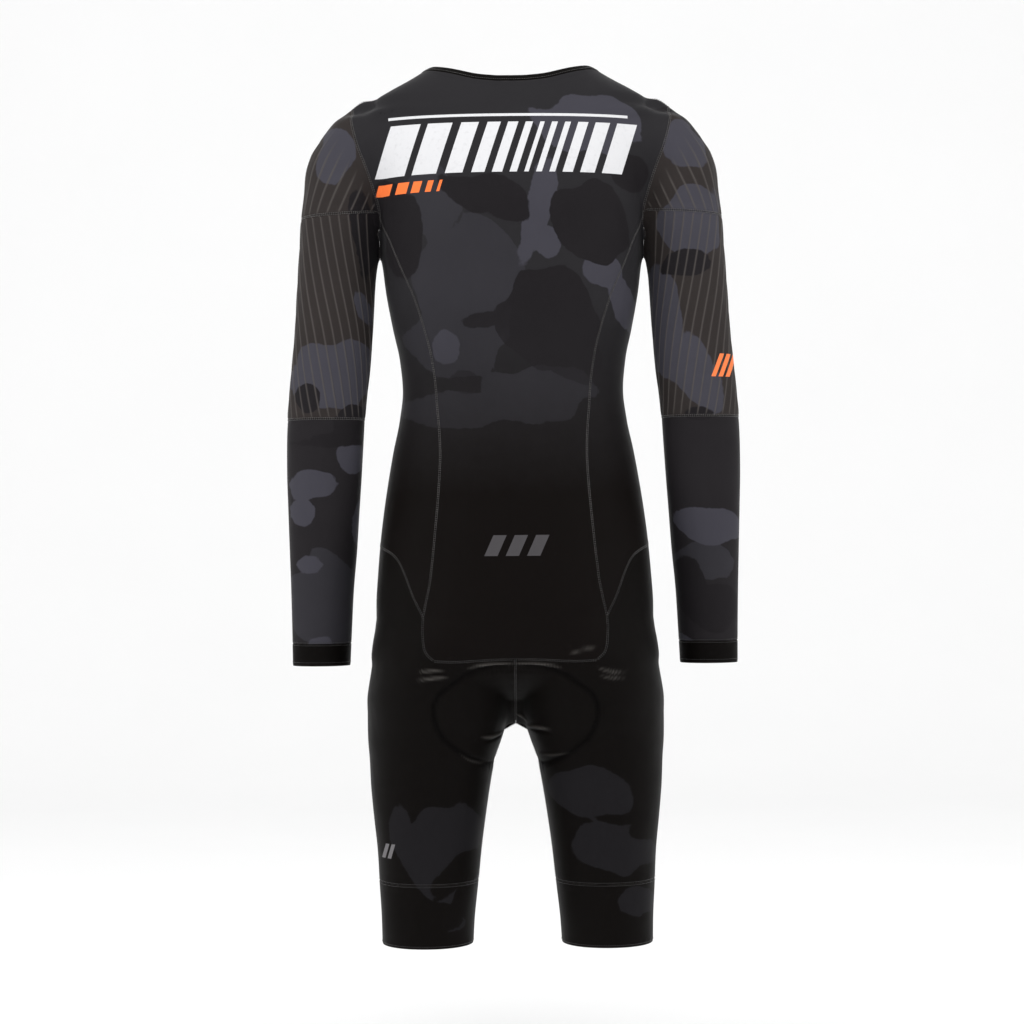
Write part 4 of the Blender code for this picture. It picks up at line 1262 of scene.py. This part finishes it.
def add_print(n, colour, x, y, z):
    """The print over the shoulder blades: slanted white bars, a thin line over them and orange bars."""
    along = n.maths("ADD", x, n.maths("MULTIPLY", z, -PRINT_LEAN))
    bars = bar_row(n, along, WHITE_BARS)
    band = within(n, z, *WHITE_HEIGHTS)
    white = n.maths("MULTIPLY", bars, n.maths("MULTIPLY", band, n.maths("LESS_THAN", y, 0.0)))
    line = n.maths("MULTIPLY", within(n, z, *LINE_HEIGHTS), within(n, x, *LINE_SIDES))
    orange = n.maths("MULTIPLY", bar_row(n, along, ORANGE_BARS), within(n, z, *ORANGE_HEIGHTS))
    worn = n.ramp(n.noise(220, 3), 0.25, 0.45, 0.9, 1.0)
    colour = n.mix(n.maths("MULTIPLY", n.maths("MAXIMUM", white, line), worn), colour, WHITE)
    return n.mix(n.maths("MULTIPLY", orange, worn), colour, ORANGE)


def within(n, value, low, high):
    """1 where a value lies between two numbers, and 0 elsewhere."""
    return n.maths("MULTIPLY", n.maths("GREATER_THAN", value, low), n.maths("LESS_THAN", value, high))


def bar_row(n, along, bars):
    """1 on the bars and 0 between them, from their ends in millimetres along the slanted row."""
    low, high = ROW_ENDS
    ramp = n.tree.nodes.new("ShaderNodeValToRGB")
    ramp.color_ramp.interpolation = "CONSTANT"
    stops = ramp.color_ramp.elements
    stops[0].position, stops[0].color = 0.0, (0, 0, 0, 1)
    stops.remove(stops[1])
    for left, right in bars:
        for end, shade in ((left, 1), (right, 0)):
            stop = stops.new((end * MM - low) / (high - low))
            stop.color = (shade, shade, shade, 1)
    n.set(ramp.inputs[0], n.ramp(n.maths("ADD", along, ROW_SHIFT), low, high))
    return ramp.outputs[0]


def thread_material():
    """Polyester sewing thread: dark grey with twisted strands, and nearly black on the lower part."""
    n = Nodes("sewing_thread", 0.45, Sheen_Weight=0.2, Specular_IOR_Level=0.4)
    separate = n.tree.nodes.new("ShaderNodeSeparateXYZ")
    n.set(separate.inputs[0], n.place())
    upper = n.mix(n.ramp(n.noise(300, 2), 0.3, 0.7), THREAD_DARK, THREAD_LIGHT)
    share = n.ramp(separate.outputs["Z"], *THREAD_FADE)
    n.set(n.shader.inputs["Base Color"], n.mix(share, THREAD_BLACK, upper))
    twist = n.add("TexWave", {"Vector": n.place(), "Scale": 900.0}, output="Fac", bands_direction="DIAGONAL")
    n.bump((twist, 0.00005))
    return n.material


def plain_material(name, first, second, roughness, depth=0.00005, scale=260.0, **fixed):
    """A material of two close colours with a fine grain."""
    n = Nodes(name, roughness, **fixed)
    n.set(n.shader.inputs["Base Color"], n.mix(n.ramp(n.noise(scale / 2, 3), 0.3, 0.7), first, second))
    ends = (roughness - 0.06, roughness + 0.08)
    n.set(n.shader.inputs["Roughness"], n.ramp(n.noise(scale / 3, 3), 0.3, 0.7, *ends))
    n.bump((n.noise(scale, 3), depth))
    return n.material


# Thread: its colours, the heights in metres between which the lighter ones come in, and its lift off the cloth.
THREAD_BLACK = rgb(20, 18, 18)
THREAD_DARK = rgb(54, 52, 52)
THREAD_LIGHT = rgb(88, 86, 85)
THREAD_FADE = (-0.6, -0.45)
THREAD_LIFT = 0.12


# One thread loop as a small roof: its corners in shares of its length, width and height, and its faces.
LOOP_CORNERS = ((-0.5, -0.5, 0), (0.5, -0.5, 0), (0.5, 0.5, 0), (-0.5, 0.5, 0), (-0.3, 0, 1), (0.3, 0, 1))
LOOP_FACES = ((0, 1, 5, 4), (2, 3, 4, 5), (1, 2, 5), (3, 0, 4), (3, 2, 1, 0))


def threads(line, sideways, pitch, length, width, height, turn=0.0, lift=THREAD_LIFT, start=0.0):
    """Points and faces of small thread loops that lie along a line, set off sideways from it on the cloth."""
    run = run_of(line)
    at = np.arange(pitch * (0.5 + start), run[-1], pitch)
    if not len(at):
        return np.zeros((0, 3)), []
    middle = np.stack([np.interp(at, run, line[:, axis]) for axis in range(3)], axis=1)
    tangent = np.stack([np.interp(at, run, np.gradient(line[:, axis], run)) for axis in range(3)], axis=1)
    tangent /= np.linalg.norm(tangent, axis=1, keepdims=True)
    normal = normals_at(middle)
    side = np.cross(normal, tangent)
    middle = middle + side * sideways
    middle = middle + normal * (fold_field(middle) + lift)[:, None]
    ahead = tangent * math.cos(turn) + side * math.sin(turn)
    beside = np.cross(normal, ahead)
    points = [
        middle + ahead * (a * length) + beside * (b * width) + normal * (c * height) for a, b, c in LOOP_CORNERS
    ]
    points = np.stack(points, axis=1).reshape(-1, 3)
    corners = len(LOOP_CORNERS)
    faces = [tuple(corners * i + k for k in face) for i in range(len(at)) for face in LOOP_FACES]
    return points, faces


def add_small_parts(name, parts, finish):
    """One object from many small closed shapes, each given as points and faces."""
    points, faces, start = [], [], 0
    for some, more in parts:
        points.append(some)
        faces += [tuple(start + k for k in face) for face in more]
        start += len(some)
    mesh = bpy.data.meshes.new(name)
    mesh.from_pydata((np.concatenate(points) * MM).tolist(), [], faces)
    mesh.materials.append(finish)
    obj = bpy.data.objects.new(name, mesh)
    bpy.context.scene.collection.objects.link(obj)
    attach(obj, "garment")
    return obj


# The seams with flat stitching, and how far its two rows stand from the seam.
FLAT_SEAMS = (
    "armhole_back",
    "armhole_under",
    "armhole_front",
    "shoulder",
    "princess",
    "corner",
    "front_princess",
    "hip",
    "waist",
    "cap",
    "seat",
    "fly",
    "back_hem",
)
ROW_APART = 1.0

# Stitches: their pitch along a row, and a loop's length, width and height in each kind of row.
STITCH_PITCH = 2.4
ROW_LOOP = (1.9, 0.36, 0.22)
CROSS_LOOP = (2.1, 0.32, 0.2)
CROSS_TURN = math.radians(72)
HEM_LOOP = (1.9, 0.4, 0.24)
NECK_LOOP = (1.7, 0.4, 0.24)
INSEAM_STEPS = 120

# Level rows of stitches: the limb and the height.
HEM_ROWS = (
    (arm_at, CUFF_TOP_Z + 1.6),
    (arm_at, CUFF_TOP_Z - 1.6),
    (arm_at, CUFF_END_Z + 4.5),
    (leg_at, GRIPPER_TOP_Z + 1.6),
    (leg_at, GRIPPER_TOP_Z - 1.6),
    (leg_at, HEM_Z + 3.0),
)
BESIDE_ZIP = np.array([2.6, 0, 0])
RING_STEPS = 160


def ring_line(at, z):
    """A closed level line round an arm or a leg."""
    turn = 2 * np.pi * np.arange(RING_STEPS + 1) / RING_STEPS
    return ring_points(at, np.full(RING_STEPS + 1, float(z)), turn)


def seam_lines_of_all():
    """Every flat seam's line by name, on both sides of the body."""
    found = []
    for name in FLAT_SEAMS:
        line = seam(name)
        found.append((name, line))
        if name not in MID_LINE_SEAMS:
            found.append((name, mirrored(line)))
    inside = spread(onto_form(inseam_line()), INSEAM_STEPS)
    for name, line in (("elbow", ring_line(arm_at, ELBOW_Z)), ("inseam", inside)):
        found += [(name, line), (name, mirrored(line))]
    return found


def add_stitches(thread):
    """Flat seams: two rows of stitches with slanting loops between them, over every seam."""
    parts = {}
    for name, line in seam_lines_of_all():
        group = parts.setdefault("arm" if name in ("cap", "elbow") else "body", [])
        for sideways in (-ROW_APART, ROW_APART):
            group.append(threads(line, sideways, STITCH_PITCH, *ROW_LOOP))
        group.append(threads(line, 0.0, STITCH_PITCH, *CROSS_LOOP, turn=CROSS_TURN, lift=0.0))
    for where, group in parts.items():
        add_small_parts(where + "_seam_stitches", group, thread)
    hems = []
    for at, z in HEM_ROWS:
        line = ring_line(at, z)
        hems += [threads(row, 0, STITCH_PITCH, *HEM_LOOP) for row in (line, mirrored(line))]
    for line in (seam("zip") + BESIDE_ZIP, mirrored(seam("zip")) - BESIDE_ZIP):
        hems.append(threads(onto_form(line), 0, STITCH_PITCH, *HEM_LOOP))
    add_small_parts("hem_stitches", hems, thread)


BINDING_STEPS = 37


def binding_line():
    """The neck seam, from one side of the zip round the back to the other, with its way up in the cloth."""
    places = np.linspace(0, 6, BINDING_STEPS)
    half = np.concatenate([seam("neck_front", np.linspace(6, 0, BINDING_STEPS)), seam("neck_back", places)[1:]])
    lower = np.concatenate([half, mirrored(half)[-2::-1]])
    normal = normals_at(lower)
    upward = edge_normal(np.gradient(lower, axis=0), normal, np.array([0, 0, 1.0]) + 0 * lower)
    upward[[0, -1], 0] = 0
    return lower, upward


# Neck binding: place up its width, height of its outer face and depth of its inner one.
BINDING_PROFILE = (
    (0.15, 0.05, -1.5),
    (0.7, 0.42, -1.75),
    (2.0, 0.55, -1.8),
    (3.6, 0.5, -1.8),
    (5.2, 0.55, -1.8),
    (6.4, 0.4, -1.7),
    (6.9, 0.0, -1.3),
    (7.0, -0.5, -0.8),
)
# The binding's cut is given as wider than the 7.2 mm that shows, because a sheet's flat size takes no less than
# 10 mm. The stitches' place up the binding and their lift.
BINDING_STITCH = 1.7
BINDING_LIFT = 0.5


def add_binding(finish, thread):
    """The folded binding round the neck, with its row of stitches."""
    lower, upward = binding_line()
    outer, inner = [], []
    for up, out, deep in BINDING_PROFILE:
        line = onto_form(lower + upward * up)
        normal = normals_at(line)
        outer.append(line + normal * out)
        inner.append(line + normal * deep)
    outer, inner = np.stack(outer), np.stack(inner)
    marks = {"edge": np.full(outer.shape[:2], FAR_FROM_EDGE)}
    obj = add_shell("neck_binding_cloth", outer, inner, finish, marks)
    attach(obj, "garment")
    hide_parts("neck_binding")
    width = cut_of(outer, False)[0]
    row = onto_form(lower + upward * BINDING_STITCH)
    add_small_parts("neck_stitches", [threads(row, 0, STITCH_PITCH, *NECK_LOOP, lift=BINDING_LIFT)], thread)


# Seat pad: place along the crotch line from its lowest point, towards the front, and half width.
PAD_COLUMNS = ("along", "half_width")
PAD_STATIONS = (
    (-104, 44),
    (-92, 70),
    (-72, 86),
    (-50, 86),
    (-28, 72),
    (-6, 54),
    (22, 42),
    (60, 36),
    (100, 32),
    (122, 18),
)
PAD_THICK = 7
PAD_EDGE = 1.5
PAD_THINNEST = 1.0
PAD_CLEAR = 1.9
PAD_ROWS = 80
PAD_HALF_COLUMNS = 30
PAD_ROUNDS = 6

# Moulded grooves: depth and half width of the one along the middle, up to a share of the pad's length.
MIDDLE_GROOVE = (1.6, 3.2)
MIDDLE_END = 0.75
# The ones across it: their places, depth and half width, how they slant, and their share of the pad's width.
CHANNELS = (-62, -34, -4, 30, 66)
CROSS_GROOVE = (1.3, 2.6)
CROSS_SLANT = 0.12
CROSS_REACH = 0.86


def add_pad(finish):
    """The seat pad inside the suit: thick lobes with moulded channels, thin at its edge."""
    line = np.concatenate([seam("seat"), seam("fly")[-2::-1]])
    run = run_of(line) - run_of(line)[np.argmin(line[:, 2])]
    half_width = smooth_columns(PAD_COLUMNS, PAD_STATIONS)["half_width"]
    station = np.linspace(PAD_STATIONS[0][0], PAD_STATIONS[-1][0], PAD_ROWS + 1)
    middle = np.stack([np.interp(station, run, line[:, axis]) for axis in range(3)], axis=1)
    along = np.gradient(middle, axis=0)
    right = [middle]
    for _ in range(PAD_HALF_COLUMNS):
        sideways = edge_normal(along, normals_at(right[-1]), np.array([1.0, 0, 0]) + 0 * middle)
        step = sideways * half_width(station)[:, None] / PAD_HALF_COLUMNS
        right.append(onto_form(right[-1] + step, rounds=PAD_ROUNDS))
    rows = np.stack([*(mirrored(p) for p in right[:0:-1]), *right], axis=1)
    normal = normals_at(rows)
    u = np.linspace(-1, 1, rows.shape[1])[None, :]
    v = np.linspace(-1, 1, rows.shape[0])[:, None]
    across = u * half_width(station)[:, None]
    crown = (1 - u**4) * (1 - v**6)
    depth, width = MIDDLE_GROOVE
    groove = depth * np.exp(-((across / width) ** 2)) * (v < MIDDLE_END)
    depth, width = CROSS_GROOVE
    for place in CHANNELS:
        gap = station[:, None] - place - CROSS_SLANT * np.abs(across)
        groove = groove + depth * np.exp(-((gap / width) ** 2)) * (np.abs(u) < CROSS_REACH)
    lift = np.minimum(fold_field(rows), 0)
    outer = rows + normal * (lift - CLOTH - SEAM_GAP - PAD_CLEAR)[..., None]
    thick = np.maximum(PAD_EDGE + (PAD_THICK - PAD_CLEAR - PAD_EDGE) * crown - groove * crown, PAD_THINNEST)
    inner = outer - normal * thick[..., None]
    marks = {"edge": np.full(rows.shape[:2], FAR_FROM_EDGE)}
    obj = add_shell("seat_pad_foam", outer, inner, finish, marks)
    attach(obj, "garment")
    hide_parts("seat_pad")


# Zip teeth: their pitch, each row's place beside the middle and start, a tooth's size, and its lift.
TOOTH_PITCH = 1.5
TOOTH_ROWS = ((-1.15, 0.0), (1.15, 0.5))
TOOTH = (2.4, 0.95, 0.55)
TOOTH_LIFT = 0.35


def add_zip(nodes, plastic, metal):
    """The zip's teeth over its chain, and finishes for its tape, slider and pull."""
    centre = seam("zip").copy()
    centre[:, 0] = 0
    centre = onto_form(centre)
    parts = []
    for sideways, start in TOOTH_ROWS:
        parts.append(
            threads(centre, sideways, TOOTH_PITCH, *TOOTH, turn=math.pi / 2, lift=TOOTH_LIFT, start=start)
        )
    add_small_parts("zip_teeth", parts, plastic)
    for name, finish in (("zip_tape", plastic), ("zip_slider", metal), ("zip_pull", metal)):
        nodes[name].data.materials.clear()
        nodes[name].data.materials.append(finish)


# Silicone dots: their radius, each ring's share of it and height, their top, sides, rows and count round a leg.
DOT_RADIUS = 1.4
DOT_RINGS = ((1.0, 0.0), (0.75, 0.5))
DOT_TOP = 0.75
DOT_SIDES = 6
DOT_SUNK = 0.1
DOT_ROWS = (-893, -903, -913, -923, -933, -942)
DOTS_ROUND = 38


def add_dots(finish):
    """Small silicone dots inside the leg grippers."""
    parts = []
    for row, z in enumerate(DOT_ROWS):
        turn = 2 * np.pi * (np.arange(DOTS_ROUND) + 0.5 * (row % 2)) / DOTS_ROUND
        middle = ring_points(leg_at, np.full(DOTS_ROUND, float(z)), turn)
        normal = normals_at(middle)
        side = np.cross(normal, np.array([0, 0, 1.0]))
        up = np.cross(side, normal)
        base = middle - normal * (BAND - DOT_SUNK)
        rings = []
        for radius, deep in DOT_RINGS:
            for k in range(DOT_SIDES):
                a = 2 * np.pi * k / DOT_SIDES
                out = side * math.cos(a) + up * math.sin(a)
                rings.append(base + out * DOT_RADIUS * radius - normal * deep)
        rings.append(base - normal * DOT_TOP)
        points = np.stack(rings, axis=1)
        top, pattern = 2 * DOT_SIDES, [tuple(reversed(range(DOT_SIDES)))]
        for k in range(DOT_SIDES):
            after = (k + 1) % DOT_SIDES
            pattern += [(k, after, DOT_SIDES + after, DOT_SIDES + k), (DOT_SIDES + k, DOT_SIDES + after, top)]
        faces = [tuple((top + 1) * i + k for k in face) for i in range(DOTS_ROUND) for face in pattern]
        flat = points.reshape(-1, 3)
        parts += [(flat, faces), (mirrored(flat), [face[::-1] for face in faces])]
    add_small_parts("gripper_dots", parts, finish)


# The camera and the room, in metres. A lamp has a name, a place, a size and a power in watts.
CAMERA_DISTANCE = 3.2
FRAME_WIDTH = 1.1264
CAMERA_X = -0.0022
CAMERA_Z = -0.4785
CAMERA_ROLL = math.radians(0.5)
FLOOR_Z = -1.1
WORLD_STRENGTH = 0.85
LAMPS = (
    ("lamp_left", (-2.6, -1.4, 0.7), (1.0, 2.0), 34),
    ("lamp_right", (2.6, -1.4, 0.7), (1.0, 2.0), 30),
    ("lamp_top", (0, -1.4, 2.3), (2.2, 1.4), 30),
)
LAMP_TARGET = Vector((0, 0, -0.45))
# The backdrop: its half width, its ends towards and away from the camera, and its sweep's start and radius.
ROOM_HALF_WIDTH = 8
ROOM_NEAR = -6
ROOM_FAR = 4.5
ROOM_TOP = 6
SWEEP_START = 3.0
SWEEP_RADIUS = 1.5
SWEEP_STEPS = 13
PALE = ((0.93, 0.93, 0.93, 1), (0.95, 0.95, 0.95, 1))


def camera_and_light():
    """The camera at the photograph's viewing angle, the pale floor with its swept backdrop, and the lamps."""
    data = bpy.data.cameras.new("camera")
    camera = bpy.data.objects.new("camera", data)
    bpy.context.scene.collection.objects.link(camera)
    data.lens = data.sensor_width * CAMERA_DISTANCE / FRAME_WIDTH
    data.clip_start, data.clip_end = 0.05, 60
    camera.location = (CAMERA_X, -CAMERA_DISTANCE, CAMERA_Z)
    camera.rotation_mode = "QUATERNION"
    camera.rotation_quaternion = Quaternion((0, 1, 0), CAMERA_ROLL) @ Quaternion((1, 0, 0), math.pi / 2)
    bpy.context.scene.camera = camera
    world = bpy.data.worlds.new("studio")
    bpy.context.scene.world = world
    world.use_nodes = True
    world.node_tree.nodes["Background"].inputs["Color"].default_value = (1, 1, 1, 1)
    world.node_tree.nodes["Background"].inputs["Strength"].default_value = WORLD_STRENGTH
    sweep = [
        (SWEEP_START + SWEEP_RADIUS * math.sin(a), SWEEP_RADIUS - SWEEP_RADIUS * math.cos(a))
        for a in np.linspace(0, math.pi / 2, SWEEP_STEPS)
    ]
    profile = [(ROOM_NEAR, 0), *sweep, (ROOM_FAR, ROOM_TOP)]
    points = [(x, y, FLOOR_Z + z) for y, z in profile for x in (-ROOM_HALF_WIDTH, ROOM_HALF_WIDTH)]
    faces = [(2 * i, 2 * i + 1, 2 * i + 3, 2 * i + 2) for i in range(len(profile) - 1)]
    mesh = bpy.data.meshes.new("floor")
    mesh.from_pydata(points, [], faces)
    mesh.shade_smooth()
    pale = Nodes("pale_floor", 0.9, Specular_IOR_Level=0.1)
    pale.set(pale.shader.inputs["Base Color"], pale.mix(pale.noise(3, 2), *PALE))
    mesh.materials.append(pale.material)
    floor = bpy.data.objects.new("floor", mesh)
    bpy.context.scene.collection.objects.link(floor)
    for name, place, size, power in LAMPS:
        lamp = bpy.data.lights.new(name, "AREA")
        lamp.shape = "RECTANGLE"
        lamp.size, lamp.size_y = size
        lamp.energy = power
        obj = bpy.data.objects.new(name, lamp)
        bpy.context.scene.collection.objects.link(obj)
        obj.location = place
        obj.rotation_mode = "QUATERNION"
        obj.rotation_quaternion = (LAMP_TARGET - Vector(place)).to_track_quat("-Z", "Y")


def cut_of(rows, closed):
    """The cut's width, length and area in metres: the worn piece's, less the stretch that it is worn with."""
    ring = np.concatenate([rows, rows[:, :1]], axis=1) if closed else rows
    across = np.linalg.norm(np.diff(ring, axis=1), axis=2)
    along = np.linalg.norm(np.diff(ring, axis=0), axis=2)
    area = ((across[1:] + across[:-1]) * (along[:, 1:] + along[:, :-1]) / 4).sum()
    width = across.sum(1).max() * MM / WORN_WIDER
    length = along.sum(0).max() * MM / WORN_LONGER
    return width, length, min(area * MM**2 / (WORN_WIDER * WORN_LONGER), width * length)


def both_sides(name, rows, finish, **how):
    """The same piece of cloth on the wearer's right and left."""
    for side, points in (("_right", rows), ("_left", mirrored(rows))):
        lay_cloth(name + side + "_cloth", name + side, points, finish, **how)


def build():
    """Every piece of the suit, with its finish."""
    torso = knit_material("torso_knit", UPPER, LOWER, fade=BODY_FADE)
    back = knit_material("back_knit", UPPER, LOWER, fade=BODY_FADE, printed=True, marks=SEAT_MARKS)
    legs = knit_material("leg_knit", LEG_LOWER, LEG_LOWER, camo=LEG_CAMO, marks=HEM_MARKS)
    ribbed = knit_material("ribbed_knit", RIBBED, RIBBED, marks=ELBOW_MARKS)
    arms = knit_material("forearm_knit", ARM, ARM)
    band = knit_material("band_knit", LEG_LOWER, LEG_LOWER, camo={})
    gripper = knit_material("gripper_knit", LEG_LOWER, LEG_LOWER, camo=LEG_CAMO)
    thread = thread_material()
    foam = plain_material(
        "pad_face", rgb(58, 58, 61), rgb(66, 66, 69), 0.85, depth=0.0003, scale=420.0, Sheen_Weight=0.3
    )
    plastic = plain_material("zip_plastic_black", rgb(24, 24, 25), rgb(31, 31, 32), 0.45)
    metal = plain_material("enamelled_metal", rgb(60, 60, 62), rgb(72, 72, 75), 0.34, Metallic=1.0)
    silicone = plain_material("silicone", rgb(150, 150, 152), rgb(165, 165, 168), 0.4)
    lay_cloth("back_panel_cloth", "back_panel", back_rows(), back)
    both_sides("side_panel", side_rows(), torso)
    both_sides("front_panel", front_rows(), torso)
    both_sides("leg_panel", leg_rows(), legs)
    cap, raised = cap_rows()
    both_sides("sleeve_cap", cap, ribbed, raised=raised)
    sleeve, raised = sleeve_rows()
    both_sides("upper_sleeve", sleeve, ribbed, raised=raised, closed=True)
    both_sides("forearm", tube_rows(arm_at, ELBOW_Z, CUFF_TOP_Z, FOREARM_ROWS), arms, closed=True)
    cuff = tube_rows(arm_at, CUFF_TOP_Z, CUFF_END_Z, CUFF_ROWS)
    both_sides("cuff", cuff, band, thick=BAND, closed=True)
    hem = tube_rows(leg_at, GRIPPER_TOP_Z, HEM_Z, GRIPPER_ROWS)
    both_sides("leg_gripper", hem, gripper, thick=BAND, closed=True)
    add_binding(band, thread)
    add_pad(foam)
    add_stitches(thread)
    add_zip(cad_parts, plastic, metal)
    add_dots(silicone)


build()
camera_and_light()
bpy.context.scene.view_settings.view_transform = "Standard"
